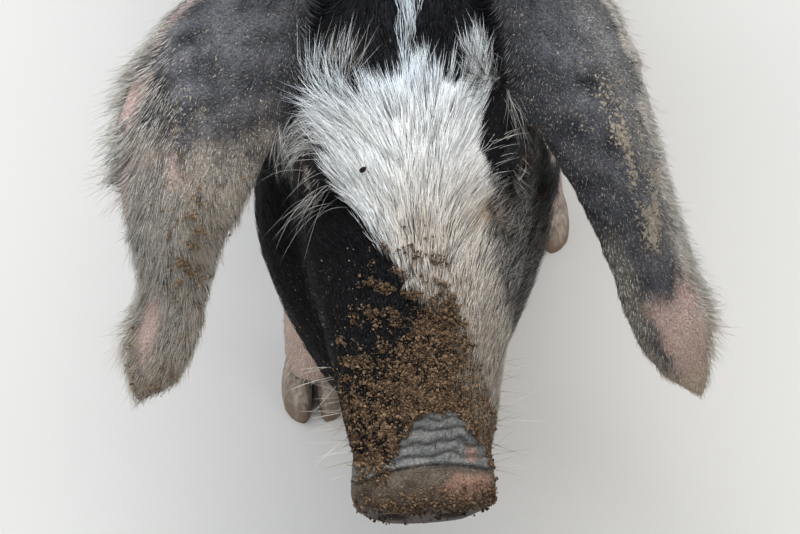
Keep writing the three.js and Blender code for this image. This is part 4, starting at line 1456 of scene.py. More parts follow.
TOP, FLANK = (0.42, 2.0), (-2.0, 0.42)
BEHIND, BEFORE = (62, math.inf), (-math.inf, 62)
COAT_AREAS = (
    CoatArea("coat_forehead_left", (Zone.HEAD,), 19000, 101, 1, TOP, BEHIND, 0.15),
    CoatArea("coat_forehead_right", (Zone.HEAD,), 19000, 121, -1, TOP, BEHIND, 0.15),
    CoatArea("coat_cheek_left", (Zone.HEAD,), 12500, 102, 1, FLANK, BEHIND),
    CoatArea("coat_cheek_right", (Zone.HEAD,), 9000, 103, -1, FLANK, BEHIND),
    CoatArea("coat_muzzle", (Zone.HEAD, Zone.SNOUT), 10500, 104, reach=BEFORE),
    CoatArea("coat_jaw", (Zone.JAW,), 3000, 105),
    CoatArea("coat_ear_left", (Zone.EAR_LEFT,), 16500, 106, slot="dark_hide"),
    CoatArea("coat_ear_right", (Zone.EAR_RIGHT,), 17500, 107, slot="dark_hide"),
    CoatArea("coat_neck", (Zone.NECK,), 8500, 108),
    CoatArea("coat_trunk_left", (Zone.TRUNK,), 11500, 109, 1),
    CoatArea("coat_trunk_right", (Zone.TRUNK,), 11500, 110, -1),
    CoatArea("coat_legs", (Zone.LEG_TOP, Zone.LEG_LOW), 8500, 111),
    CoatArea("coat_tail", (Zone.TAIL,), 1600, 112),
)


@dataclass(frozen=True)
class Roots:
    """Places within the faces of the skin."""

    corners: Array
    shares: Array

    def read(self, values: Array) -> Array:
        """Returns, at each root, a value that is held at the skin's corners."""
        return np.einsum("ij,ij...->i...", self.shares, values[self.corners])


@dataclass
class Coat:
    """The coat, in pieces, each of hairs that lie along the skin and gather at their tips."""

    fields: CoatFields
    root_map: RootMap
    material: Material
    bends: int = 2
    locks: int = 4
    sunk: float = 0.25 * MM

    def __post_init__(self) -> None:
        """Works out what all the pieces share, face by face."""
        fields = self.fields
        self.surface = surface = fields.skin.surface
        _, self.face_areas = surface.face_normals()
        self.face_flow = unit(fields.flow[surface.faces].mean(axis=1))
        self.tree = surface.tree()
        self.face_zone = fields.skin.zone_numbers[surface.faces[:, 0]]
        up = unit(fields.spots.normals[surface.faces].mean(axis=1))
        self.middles = Spots(surface.points[surface.faces].mean(axis=1), up)
        self.across, self.back, _ = HEAD.local(self.middles.points).T
        self.out = up @ HEAD.axes()[2]

    def within(self, *zones: Zone) -> Array:
        """Returns which faces of the skin belong to some zones."""
        return np.isin(self.face_zone, [ZONES.index(zone) for zone in zones])

    def grow(self, area: CoatArea) -> None:
        """Makes one piece of the coat."""
        rng = np.random.default_rng(area.seed)
        fields, roots = self.fields, self._roots(area, rng)
        weights = {zone: roots.read(weight) for zone, weight in fields.spots.weights.items()}
        spots = Spots(roots.read(self.surface.points), unit(roots.read(fields.spots.normals)), weights)
        curl = roots.read(fields.curl)
        length = roots.read(fields.length) * MM * rng.uniform(0.62, 1.22, area.count)
        heading = self._heading(spots, unit(roots.read(fields.flow)), curl, rng)
        height = length * (roots.read(fields.lift) * rng.uniform(0.55, 1.6, area.count))
        turn = curl * 0.5 * (spots.noise(43, 0.009, 2) + rng.normal(0, 0.45, area.count))
        paths = self._paths(spots, heading, length, height, turn)
        paths = self._gathered(paths, area.gather, rng)
        if area.zones == (Zone.HEAD,):
            paths = self._within_markings(paths)
        colours = fields.markings.hair(spots, rng)
        widths = roots.read(fields.width) * MM * rng.uniform(0.75, 1.2, area.count)
        strands = Strands(paths, spots.normals, widths, colours, spots.points)
        keep_piece(strands.piece(area.name, self.root_map), self.material)

    def _roots(self, area: CoatArea, rng: Random) -> Roots:
        """Scatters roots over the faces of an area.

        Args:
            area: the part of the coat.
            rng: the source of chance.

        Returns:
            The roots.
        """
        inside = self.within(*area.zones)
        inside &= (self.out >= area.facing[0]) & (self.out < area.facing[1])
        inside &= (self.back >= area.reach[0]) & (self.back < area.reach[1])
        if area.side:
            inside &= np.sign(self.across) == area.side
        density = self.fields.density[self.surface.faces].mean(axis=1)
        face = pick_faces(self.face_areas * density * inside, area.count, rng)
        u, v = rng.random((2, area.count))
        over = u + v > 1
        u, v = np.where(over, 1 - u, u), np.where(over, 1 - v, v)
        return Roots(self.surface.faces[face], rows(1 - u - v, u, v))

    @staticmethod
    def _heading(spots: Spots, flow: Array, curl: Array, rng: Random) -> Array:
        """Works out the direction in which each hair sets out, a little different in each lock.

        Args:
            spots: the hairs' roots.
            flow: the lie of the coat there.
            curl: how unruly the hairs are.
            rng: the source of chance.

        Returns:
            One direction per hair.
        """
        flow = flatten(flow, spots.normals)
        side = np.cross(spots.normals, flow)
        wander = 0.20 * spots.noise(41, 0.011, 2) + 0.15 * spots.noise(42, 0.045, 2)
        turn = wander * (0.6 + curl) + rng.normal(0, 0.13, len(curl)) * (0.6 + 1.5 * curl)
        return unit(flow * np.cos(turn)[:, None] + side * np.sin(turn)[:, None])

    def _paths(self, spots: Spots, heading: Array, length: Array, height: Array, turn: Array) -> Array:
        """Walks each hair over the skin, rising off it, and free where the skin turns away.

        Args:
            spots: where the hairs start.
            heading: the directions in which they set out.
            length: their lengths.
            height: how high their tips stand.
            turn: the angle of each bend.

        Returns:
            For each hair, its points from root to tip.
        """
        share = np.linspace(0, 1, self.bends + 1)
        rise = share * (1.35 - 0.35 * share)
        here, up = spots.points, spots.normals
        path = [here - up * self.sunk]
        step = (length / self.bends)[:, None]
        height = height[:, None]
        for before, after in zip(rise, rise[1:]):
            ahead = here + heading * step
            near, _, face = nearest(self.tree, ahead)
            skin_up = self.middles.normals[face]
            close = np.linalg.norm(near - ahead, axis=1) < 0.45 * length
            follows = ((np.sum(skin_up * up, axis=1) > 0.72) & close)[:, None]
            free = path[-1] + heading * step + up * height * (after - before)
            path.append(np.where(follows, near + skin_up * (height * after + 0.1 * MM), free))
            here = np.where(follows, near, ahead)
            up = np.where(follows, skin_up, up)
            flow = np.where(follows, self.face_flow[face], heading)
            heading = flatten(0.55 * heading + 0.45 * flow, up)
            side = np.cross(up, heading)
            heading = unit(heading * np.cos(turn)[:, None] + side * np.sin(turn)[:, None])
        return np.stack(path, axis=1)

    def _gathered(self, paths: Array, gather: float, rng: Random) -> Array:
        """Draws the tips of neighbouring hairs together into locks.

        Args:
            paths: the hairs' points from root to tip.
            gather: how far the tips go.
            rng: the source of chance.

        Returns:
            The points after gathering.
        """
        count, levels = paths.shape[:2]
        leaders = rng.choice(count, max(count // self.locks, 1), replace=False)
        tree = KDTree(len(leaders))
        for leader in leaders:
            tree.insert(paths[leader, 0], int(leader))
        tree.balance()
        chief = np.array([tree.find(root)[1] for root in paths[:, 0].tolist()])
        pull = gather * np.linspace(0, 1, levels) ** 1.3 * rng.uniform(0.4, 1.2, count)[:, None]
        return paths + (paths[chief] - paths) * np.clip(pull, 0, 0.8)[:, :, None]

    def _within_markings(self, paths: Array) -> Array:
        """Shortens the head's white hairs that would hide the black over the left eye.

        Args:
            paths: the hairs' points from root to tip.

        Returns:
            The points, with some hairs drawn in towards their roots.
        """
        markings, roots = self.fields.markings, paths[:, 0]
        x, s, _ = HEAD.local(roots).T
        near = (markings.face_depth(Spots(roots)) < 0) & (x > 8) & (s > 90) & (s < 150)
        pale = markings.silver_share(Spots(roots)) < 0.5
        share = np.ones(len(paths))
        for part in (0.9, 0.75, 0.6, 0.45, 0.3):
            reached = Spots(roots + part * (paths[:, -1] - roots))
            over = markings.face_depth(reached) > 2.2
            over |= pale & (markings.silver_share(reached) > 0.95)
            share = np.where(near & over, part, share)
        return roots[:, None] + (paths - roots[:, None]) * share[:, None, None]


# ---- Whiskers, lashes and soil


def bowed(roots: Array, start: Array, bow: Array, length: Array) -> Array:
    """Bends hairs in an even bow.

    Args:
        roots: where they begin.
        start: the directions in which they set out.
        bow: how far they bend away, as a share of their length.
        length: their lengths.

    Returns:
        For each hair, its points from root to tip.
    """
    share = np.linspace(0, 1, 6)[None, :, None]
    return roots[:, None] + length[:, None, None] * (start[:, None] * share + bow[:, None] * share**2)


@dataclass(frozen=True)
class LongHair:
    """A set of long stiff hairs on the face, placed in the head's own axes, in millimetres."""

    name: str
    seed: int
    count: int
    length: float
    width: float
    low: Triple
    high: Triple
    heading: Triple
    bow: Triple
    scatter: float
    colour: Colour


LONG_HAIRS = (
    LongHair(
        "whiskers_left", 201, 30, 20, 0.30, (26, 3, -16), (34, 48, 6),
        (1.0, 0.05, 0.25), (0, 0.1, -0.25), 0.28, (0.66, 0.62, 0.54),
    ),
    LongHair(
        "whiskers_right", 202, 34, 20, 0.30, (-34, 3, -16), (-26, 48, 6),
        (-1.0, -0.05, 0.25), (0, -0.1, -0.25), 0.32, (0.60, 0.56, 0.49),
    ),
    LongHair(
        "chin_hairs", 203, 26, 11, 0.22, (-14, 16, -44), (14, 60, -36),
        (0.0, -0.2, -1.0), (0, 0.4, 0), 0.45, (0.45, 0.42, 0.38),
    ),
    LongHair(
        "brow_bristles_right", 204, 24, 26, 0.16, (-38, 108, 18), (-25, 124, 36),
        (-1.0, -0.05, 0.10), (0.25, -1.0, -0.6), 0.20, (0.40, 0.39, 0.37),
    ),
    LongHair(
        "brow_bristles_left", 205, 16, 12, 0.19, (25, 116, 26), (31, 134, 38),
        (0.75, 0.65, 0.0), (0.25, -0.35, -0.45), 0.17, (0.62, 0.59, 0.54),
    ),
    LongHair(
        "brow_wisps_left", 206, 70, 16, 0.17, (34, 140, 20), (41, 153, 34),
        (0.30, -1.0, 0.0), (-0.15, -0.25, -0.4), 0.20, (0.40, 0.39, 0.37),
    ),
)


@dataclass
class FaceHairs:
    """Whiskers, eyelashes and the long hairs of the brows and the chin."""

    coat: Coat
    brow_count: int = 700
    lash_count: int = 36

    def build(self) -> None:
        """Makes every set of long hairs, in the same skin as the coat."""
        for kind in LONG_HAIRS:
            self._bristles(kind)
        for seat in SEATS:
            self._lashes(seat)
        self._brow(RIGHT_EYE)

    def _keep(self, name: str, paths: Array, up: Array, widths: Array, colours: Array) -> None:
        """Makes one piece of long hairs, which are nearly round, and dresses it."""
        hairs = Strands(paths, up, widths, colours, paths[:, 0], flat=0.9)
        keep_piece(hairs.piece(name, self.coat.root_map), self.coat.material)

    def _bristles(self, kind: LongHair) -> None:
        """Makes one set of stiff hairs, scattered in its box and drawn to the skin."""
        rng = np.random.default_rng(kind.seed)
        local = rng.uniform(kind.low, kind.high, (kind.count, 3))
        roots, up, _ = nearest(self.coat.tree, HEAD.model(local))
        heading = np.array(kind.heading) + rng.normal(0, kind.scatter, (kind.count, 3))
        heading = unit(unit(heading) @ HEAD.axes() + 0.35 * up)
        bow = (np.array(kind.bow) + rng.normal(0, 0.12, (kind.count, 3))) @ HEAD.axes()
        length = kind.length * MM * rng.uniform(0.55, 1.15, kind.count)
        widths = kind.width * MM * rng.uniform(0.8, 1.3, kind.count)
        colours = np.array(kind.colour) * rng.uniform(0.6, 1.25, (kind.count, 1))
        side = unit(np.cross(heading, [0.3, 0.5, 0.8]))
        paths = bowed(roots - up * 0.3 * MM, heading, bow * 0.5, length)
        self._keep(kind.name, paths, side, widths, colours)

    def _brow(self, seat: EyeSeat) -> None:
        """Makes the long pale hairs that arch over one eye and come down round its outer side."""
        rng = np.random.default_rng(230)
        count = self.brow_count
        turn = rng.uniform(-0.3, 2.5, count)
        ring = rng.uniform(7.0, 24.0, count)
        spot = rows(-seat.side * np.cos(turn) * ring, np.sin(turn) * ring + 1.0, 6.0)
        roots, up, _ = nearest(self.coat.tree, HEAD.model(seat.centre + spot))
        roots, up = HEAD.local(roots), up @ HEAD.axes().T
        around = rows(seat.side * np.sin(turn), np.cos(turn), 0.0)
        start = unit(around + 0.45 * up + rng.normal(0, 0.24, (count, 3)))
        inward = rows(seat.side * np.cos(turn), -np.sin(turn), -0.6)
        bow = 1.2 * inward + np.array([0, -0.5, -0.4]) + rng.normal(0, 0.3, (count, 3))
        length = 13.0 * rng.uniform(0.5, 1.25, count)
        paths = bowed(roots - up * 0.3, start, bow * 0.45, length)
        light = rng.random(count) ** 1.7
        colours = mix((0.07, 0.066, 0.06), (0.84, 0.83, 0.80), light)
        widths = 0.16 * MM * (0.6 + 0.9 * light)
        up = unit(up) @ HEAD.axes()
        self._keep(f"brow_hairs_{seat.name}", HEAD.model(paths), up, widths, colours)

    def _lashes(self, seat: EyeSeat) -> None:
        """Makes the lashes of one eye, which spring from the upper lid and hang forward over it."""
        rng = np.random.default_rng(211 + seat.side)
        count = self.lash_count
        place = -0.95 + 1.6 * rng.random(count) ** 1.6
        h = place * seat.half_width
        v = seat.lid_height(place) + rng.uniform(0.5, 3.4, count) - 0.012 * h**2
        along, up, gaze = seat.axes
        tilt = np.clip(rows(h, v) / seat.radius, -1, 1)
        direction = along * tilt[:, :1] + up * tilt[:, 1:]
        direction = unit(direction + gaze * np.sqrt(1 - np.sum(tilt**2, axis=1))[:, None])
        roots = seat.centre + direction * (seat.radius + seat.lid - 0.3)
        length = 6.5 * rng.uniform(0.5, 1.2, count)
        turn = rng.uniform(-0.2, 0.6, count)
        sweep = unit(rows(seat.side * np.cos(turn), -np.sin(turn), -0.12))
        start = unit(0.9 * direction + 0.5 * up + 0.3 * sweep + rng.normal(0, 0.14, (count, 3)))
        bow = sweep * 1.3 + np.array([0, -1.1, -0.6]) + rng.normal(0, 0.35, (count, 3))
        paths = bowed(roots, start, bow * 0.42, length)
        pale = rng.random(count)[:, None] < (0.8 if seat is RIGHT_EYE else 0.55)
        colours = np.where(pale, (0.36, 0.345, 0.315), (0.06, 0.055, 0.05))
        colours = colours * rng.uniform(0.6, 1.15, (count, 1))
        widths = 0.14 * MM * rng.uniform(0.8, 1.25, count)
        up = unit(direction) @ HEAD.axes()
        self._keep(f"lashes_{seat.name}", HEAD.model(paths), up, widths, colours)


@dataclass(frozen=True)
class CrumbKind:
    """One scatter of dry soil or dust on the coat, with sizes in millimetres."""

    name: str
    seed: int
    count: int
    size: Pair
    colour: Colour
    pale: Colour
    proud: float = 0.35


@dataclass
class Soil:
    """Crumbs of dry soil on the muzzle, a seed on the forehead, and flecks of dust on the ears."""

    coat: Coat
    material: Material
    specks: CrumbKind = CrumbKind(
        "soil_specks", 303, 420, (0.14, 0.36), (0.20, 0.155, 0.11), (0.42, 0.35, 0.26)
    )
    muzzle: CrumbKind = CrumbKind(
        "soil_muzzle", 301, 15000, (0.24, 0.92), (0.045, 0.028, 0.016), (0.20, 0.128, 0.075)
    )
    ears: CrumbKind = CrumbKind(
        "soil_ears", 302, 2000, (0.10, 0.34), (0.20, 0.155, 0.115), (0.40, 0.35, 0.285)
    )
    clods: CrumbKind = CrumbKind(
        "soil_clods", 304, 520, (0.30, 0.95), (0.11, 0.068, 0.036), (0.25, 0.165, 0.098), 2.4
    )
    seed_colour: Colour = (0.012, 0.008, 0.006)
    in_hair: float = 2.4

    def build(self) -> None:
        """Makes each scatter, and the seed."""
        coat = self.coat
        ball = bmesh.new()
        bmesh.ops.create_uvsphere(ball, u_segments=4, v_segments=2, radius=1.0)
        self._shape = np.array([vertex.co for vertex in ball.verts])
        self._faces = np.array([[vertex.index for vertex in face.verts] for face in ball.faces])
        ball.free()
        spots = coat.middles
        x, s = spots.x, spots.s
        packed, loose = coat.fields.markings.soil(spots)
        head = coat.within(Zone.HEAD, Zone.SNOUT)
        specks = 0.012 * ease(-8, -18, x) * ease(96, 84, s) * ease(20, 40, s) * head
        self._scatter(self.specks, specks * ease(-0.1, 0.3, coat.out))
        self._scatter(self.muzzle, (packed + 0.30 * loose) * head * ease(0.1, 0.5, coat.out))
        self._scatter(self.ears, sum(self._dust_on(zone) for zone in EARS))
        self._scatter(self.clods, self._clod_density())
        self._seed()

    def _dust_on(self, zone: Zone) -> Array:
        """Returns how thickly dust lies on the upper side of one ear."""
        spots = self.coat.middles
        ear = spots.ears[zone]
        clump = spots.noise(52, 0.013, 3)
        spot = 0.07 + 0.7 * ease(0.25, 0.7, clump) * ease(0.2, 0.4, ear.along)
        if ear.left:
            mud = bell(ear.along, 0.46, 0.14) * bell(ear.across, 0.22, 0.3)
            spot = spot * 0.4 + 1.6 * mud * ease(-0.3, 0.5, clump)
        else:
            spot = spot * ease(0.9, 0.5, ear.along)
        return self.coat.within(zone) * ease(0.2, 0.5, spots.facing(ear)) * spot

    def _clod_density(self) -> Array:
        """Returns how thickly little clods of earth cling to the right ear's shaggy hair."""
        spots = self.coat.middles
        ear = spots.ears[Zone.EAR_RIGHT]
        upper = self.coat.within(Zone.EAR_RIGHT) * ease(0.2, 0.5, spots.facing(ear))
        strip = bell(ear.along, 0.60, 0.13) * bell(ear.across, -0.42, 0.26)
        strip = np.maximum(strip, 0.5 * bell(ear.along, 0.93, 0.06))
        return upper * strip * ease(0.25, 0.6, spots.noise(54, 0.006, 2))

    def _scatter(self, kind: CrumbKind, density: Array) -> None:
        """Makes one piece of crumbs.

        Args:
            kind: the crumbs' number, size and colour.
            density: how thickly they lie on each face of the skin.
        """
        rng = np.random.default_rng(kind.seed)
        coat, shape, count = self.coat, self._shape, kind.count
        face = pick_faces(coat.face_areas * density, count, rng)
        corners = coat.surface.faces[face]
        roots = Roots(corners, rng.dirichlet((1, 1, 1), count)).read(coat.surface.points)
        size = kind.size[0] + (kind.size[1] - kind.size[0]) * rng.random(count) ** 2.2
        lift = size * rng.uniform(0.1, 0.8, count) + kind.proud * rng.random(count)
        hairy = (1 - coat.fields.black[corners[:, 0]]) * ease(50, 72, coat.back[face])
        lift += self.in_hair * hairy * rng.uniform(0.4, 1.0, count)
        turn = np.linalg.qr(rng.normal(size=(count, 3, 3)))[0]
        lumps = shape[None] * rng.uniform(0.5, 1.35, (count, len(shape), 1))
        lumps = lumps * rng.uniform(0.6, 1.35, (count, 1, 3))
        lumps = np.einsum("nij,nkj->nki", turn, lumps) * (size * MM)[:, None, None]
        points = (roots + coat.middles.normals[face] * (lift * MM)[:, None])[:, None] + lumps
        faces = self._faces[None] + (np.arange(count) * len(shape))[:, None, None]
        mirrored = np.linalg.det(turn) < 0
        faces[mirrored] = faces[mirrored][:, :, ::-1]
        faces = faces.reshape(-1, 3)
        piece = new_piece(kind.name, points.reshape(-1, 3), faces)
        piece.data.shade_flat()
        colours = mix(kind.colour, kind.pale, rng.random(count) ** 1.6)
        paint(piece, "soil", np.repeat(colours, len(shape), axis=0))
        map_corners(piece, coat.root_map.at(roots)[:, None, :] + shape[None, :, :2] * 0.0012, faces)
        keep_piece(piece, self.material)

    def _seed(self) -> None:
        """Makes the small dark seed caught in the white hair of the forehead."""
        ball = bmesh.new()
        bmesh.ops.create_icosphere(ball, subdivisions=3, radius=1.0)
        bmesh.ops.scale(ball, vec=(1.6, 1.0, 0.7), verts=ball.verts)
        spot = HEAD.model([(-15.6, 124.5, 60.0)], twisted=False)[0]
        hit, up, _, _ = self.coat.tree.ray_cast(Vector(spot), Vector(-HEAD.axes()[2]))
        place = seated(hit + up * (5.8 * MM), up, spin=0.6)
        bmesh.ops.transform(ball, matrix=place, verts=ball.verts)
        piece = show(as_mesh(ball, "seed"))
        piece.data.shade_smooth()
        paint(piece, "soil", np.tile(self.seed_colour, (len(piece.data.vertices), 1)))
        keep_piece(piece, self.material)


# ---- Eyes and hooves


@dataclass(frozen=True)
class Eyeball:
    """One eyeball with its bulging cornea, turned along the gaze."""

    seat: EyeSeat
    bulge: float = 0.275
    cornea: float = 0.62

    def build(self, material: Material) -> None:
        """Makes the eyeball."""
        ball = bmesh.new()
        bmesh.ops.create_uvsphere(ball, u_segments=64, v_segments=48, radius=self.seat.radius - 0.15)
        off_gaze = [vertex.co.angle(Vector((0, 0, 1))) for vertex in ball.verts]
        for vertex, angle in zip(ball.verts, off_gaze):
            swell = max(0.0, 1 - (angle / self.cornea) ** 2)
            vertex.co += vertex.co.normalized() * (self.bulge * swell)
        centre = Vector(HEAD.model(self.seat.centre))
        place = seated(centre, Vector(self.seat.axes[2] @ HEAD.axes()))
        bmesh.ops.transform(ball, matrix=place, verts=ball.verts)
        piece = show(as_mesh(ball, f"eyeball_{self.seat.name}"))
        piece.data.shade_smooth()
        mark(piece, "off_gaze", np.array(off_gaze))
        keep_piece(piece, material, (f"eye_{self.seat.name}",))


@dataclass(frozen=True)
class Foot:
    """The two claws and two dewclaws of one foot, with rounded walls and flat soles."""

    name: str
    voxel: float = 1.15 * MM
    sole: float = 1.3 * MM
    ring: float = 1.9 * MM

    def build(self, material: Material) -> None:
        """Makes the foot's horn."""
        nodes = tuple(f"{self.name}_{part}" for part in HORN_PARTS)
        whole = Surface.joined([self._horn(node) for node in nodes])
        keep_piece(new_piece(f"horn_{self.name}", whole.points, whole.faces), material, nodes)

    def _horn(self, node: str) -> Surface:
        """Returns one claw, smoothed, with its growth rings, inside its node's box."""
        low, high = (np.array(corner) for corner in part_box(node))
        horn = Surface.of(voxel_shell([whole_node(node)], 0.0, self.voxel), used_up=True)
        horn.soften(6, 0.55)
        horn.relax(6, 0.6)
        growth = horn.points[:, 2] / self.ring + SoftNoise(61, 0.03, 2).at(horn.points) * 1.5
        horn.push(np.sin(growth) * 0.10)
        if "dew" not in node:
            horn.points[horn.points[:, 2] < self.sole, 2] = 0.0
        horn.points = np.clip(horn.points, low, high)
        return horn


# ---- Finishes

@dataclass
class Bench:
    """A short way to lay out shader nodes in a tree."""

    tree: NodeTree

    def fill(self, node: Node, inputs: dict[str | int, object]) -> Node:
        """Links sockets to a node's inputs, or sets them, by name or number, and returns the node."""
        for key, value in inputs.items():
            if isinstance(value, NodeSocket):
                self.tree.links.new(value, node.inputs[key])
            else:
                node.inputs[key].default_value = value
        return node

    def add(self, kind: str, inputs: dict | None = None, **settings: object) -> NodeSocket:
        """Adds a node.

        Args:
            kind: the node's type, without its prefix.
            inputs: values or sockets for its inputs, by name or number.
            settings: the node's own properties.

        Returns:
            Its first output.
        """
        node = self.tree.nodes.new(f"ShaderNode{kind}")
        for key, value in settings.items():
            setattr(node, key, value)
        return self.fill(node, inputs or {}).outputs[0]

    def noise(self, vector: NodeSocket, scale: float, detail: float = 4.0) -> NodeSocket:
        """Adds a noise texture and returns its value."""
        return self.add("TexNoise", {"Vector": vector, "Scale": scale, "Detail": detail})

    def sums(self, operation: str, first: NodeSocket, second: NodeSocket | float = 0.0) -> NodeSocket:
        """Adds a sum of two numbers and returns its result."""
        return self.add("Math", {0: first, 1: second}, operation=operation)

    def spread(self, value: NodeSocket, *ends: float) -> NodeSocket:
        """Maps one range of numbers to another, held within it, given as low, high, low, high."""
        names = ("From Min", "From Max", "To Min", "To Max")
        return self.add("MapRange", {"Value": value, **dict(zip(names, ends))})

    def scaled(self, colour: NodeSocket, share: NodeSocket) -> NodeSocket:
        """Returns a colour made brighter or darker."""
        return self.add("VectorMath", {0: colour, "Scale": share}, operation="SCALE")

    def tint(self, share: NodeSocket, *colours: NodeSocket | Colour) -> NodeSocket:
        """Mixes two colours by a share and returns the result."""
        first, second = (end if isinstance(end, NodeSocket) else (*end, 1.0) for end in colours)
        node = self.add("Mix", {0: share, 6: first, 7: second}, data_type="RGBA").node
        return node.outputs[2]


class Finish(Bench):
    """A material under way: its nodes, its shader, and the coordinates of the piece."""

    def __init__(self, name: str, **constants: float) -> None:
        """Starts a material.

        Args:
            name: the material's name.
            constants: the shader's own numbers, with underscores for spaces.
        """
        self.material = bpy.data.materials.new(name)
        self.material.use_nodes = True
        super().__init__(self.material.node_tree)
        self.place = self._output("TexCoord", "Object")
        self.shade(**constants)

    def _output(self, kind: str, output: str, **settings: object) -> NodeSocket:
        """Adds a source node and returns one of its outputs by name."""
        return self.add(kind, **settings).node.outputs[output]

    def colour(self, attribute: str) -> NodeSocket:
        """Returns a painted colour of the piece."""
        return self._output("Attribute", "Color", attribute_name=attribute)

    def number(self, attribute: str) -> NodeSocket:
        """Returns a number marked on the piece."""
        return self._output("Attribute", "Fac", attribute_name=attribute)

    def shade(self, **inputs: NodeSocket | float) -> None:
        """Links or sets the shader's own inputs, named with underscores for spaces."""
        shader = self.tree.nodes["Principled BSDF"]
        self.fill(shader, {key.replace("_", " "): value for key, value in inputs.items()})

    def relief(self, height: NodeSocket, strength: float, distance: float) -> None:
        """Raises the surface by a height, as far as a distance in metres."""
        bump = {"Height": height, "Strength": strength, "Distance": distance}
        self.shade(Normal=self.add("Bump", bump))


class HideRelief:
    """The fine relief of hide, as a shared effect: crossing creases with pores between them."""

    def __init__(self) -> None:
        """Makes the shared group."""
        self.group = bpy.data.node_groups.new("Hide relief", "ShaderNodeTree")
        new_socket = self.group.interface.new_socket
        new_socket("Vector", in_out="INPUT", socket_type="NodeSocketVector")
        for name, usual in (("Crease size", 300.0), ("Pore size", 1500.0)):
            new_socket(name, in_out="INPUT", socket_type="NodeSocketFloat").default_value = usual
        new_socket("Height", in_out="OUTPUT", socket_type="NodeSocketFloat")
        bench = Bench(self.group)
        vector, crease, pore, _ = self.group.nodes.new("NodeGroupInput").outputs
        warp = bench.add("TexNoise", {"Vector": vector, "Scale": 90.0, "Detail": 2.0}).node.outputs[1]
        bent = bench.add("VectorMath", {0: warp, 1: (0.012, 0.012, 0.012)}, operation="MULTIPLY")
        moved = bench.add("VectorMath", {0: vector, 1: bent}, operation="ADD")
        cells = bench.add("TexVoronoi", {"Vector": moved, "Scale": crease}, feature="DISTANCE_TO_EDGE")
        lines = bench.sums("MULTIPLY", bench.spread(cells, 0.0, 0.16, 0.0, 1.0), 0.6)
        grain = bench.sums("MULTIPLY", bench.noise(moved, pore, 3.0), 0.7)
        sink = self.group.nodes.new("NodeGroupOutput")
        self.group.links.new(bench.sums("ADD", lines, grain), sink.inputs[0])

    def height(self, finish: Finish, crease: float, pore: float) -> NodeSocket:
        """Uses the relief in a material.

        Args:
            finish: the material.
            crease: how many creases there are in a metre.
            pore: how many pores there are in a metre.

        Returns:
            The height.
        """
        node = finish.tree.nodes.new("ShaderNodeGroup")
        node.node_tree = self.group
        return finish.fill(node, {0: finish.place, 1: crease, 2: pore}).outputs[0]


@dataclass(frozen=True)
class HideFinish:
    """Bare hide: its painted colours, mottled, with creases and pores."""

    rough: Pair = (0.46, 0.66)
    creases: float = 420.0
    pores: float = 1900.0
    dust: Colour = (0.31, 0.265, 0.205)

    def make(self) -> Material:
        """Makes the material."""
        hide = Finish("pig_hide", Specular_IOR_Level=0.16)
        fine, broad = hide.noise(hide.place, 1100.0, 5.0), hide.noise(hide.place, 60.0)
        shade = hide.sums(
            "MULTIPLY", hide.spread(fine, 0.3, 0.7, 0.60, 1.40), hide.spread(broad, 0.3, 0.7, 0.86, 1.14)
        )
        dusty = hide.sums("MULTIPLY", hide.number("dust"), 0.36)
        fleck = hide.sums("ADD", hide.noise(hide.place, 760.0, 6.0), dusty)
        painted = hide.scaled(hide.colour("hide"), shade)
        colour = hide.tint(hide.spread(fleck, 0.66, 0.72, 0.0, 0.9), painted, self.dust)
        bare = hide.sums("MULTIPLY", hide.number("bare"), 0.08)
        rough = hide.sums("SUBTRACT", hide.spread(fine, 0.3, 0.7, *self.rough), bare)
        hide.shade(Base_Color=colour, Roughness=rough)
        hide.relief(HideRelief().height(hide, self.creases, self.pores), 0.8, 0.4 * MM)
        return hide.material


@dataclass(frozen=True)
class GrainedFinish:
    """A painted colour, lighter and darker along a fine grain; the grain is a scale and a detail."""

    name: str
    attribute: str
    gloss: float
    grain: Pair
    shades: Pair
    rough: Pair
    bump: float = 0.0

    def make(self) -> Material:
        """Makes the material."""
        finish = Finish(self.name, Specular_IOR_Level=self.gloss)
        grain = finish.noise(finish.place, *self.grain)
        shade = finish.spread(grain, 0.3, 0.7, *self.shades)
        colour = finish.scaled(finish.colour(self.attribute), shade)
        finish.shade(Base_Color=colour, Roughness=finish.spread(grain, 0.3, 0.7, *self.rough))
        if self.bump:
            finish.relief(grain, self.bump, 0.3 * MM)
        return finish.material


COARSE_HAIR = GrainedFinish("pig_hair", "coat", 0.13, (900.0, 2.0), (0.9, 1.1), (0.36, 0.52))
DRY_SOIL = GrainedFinish("dry_soil", "soil", 0.2, (2200.0, 4.0), (0.7, 1.3), (0.8, 0.98), 0.5)


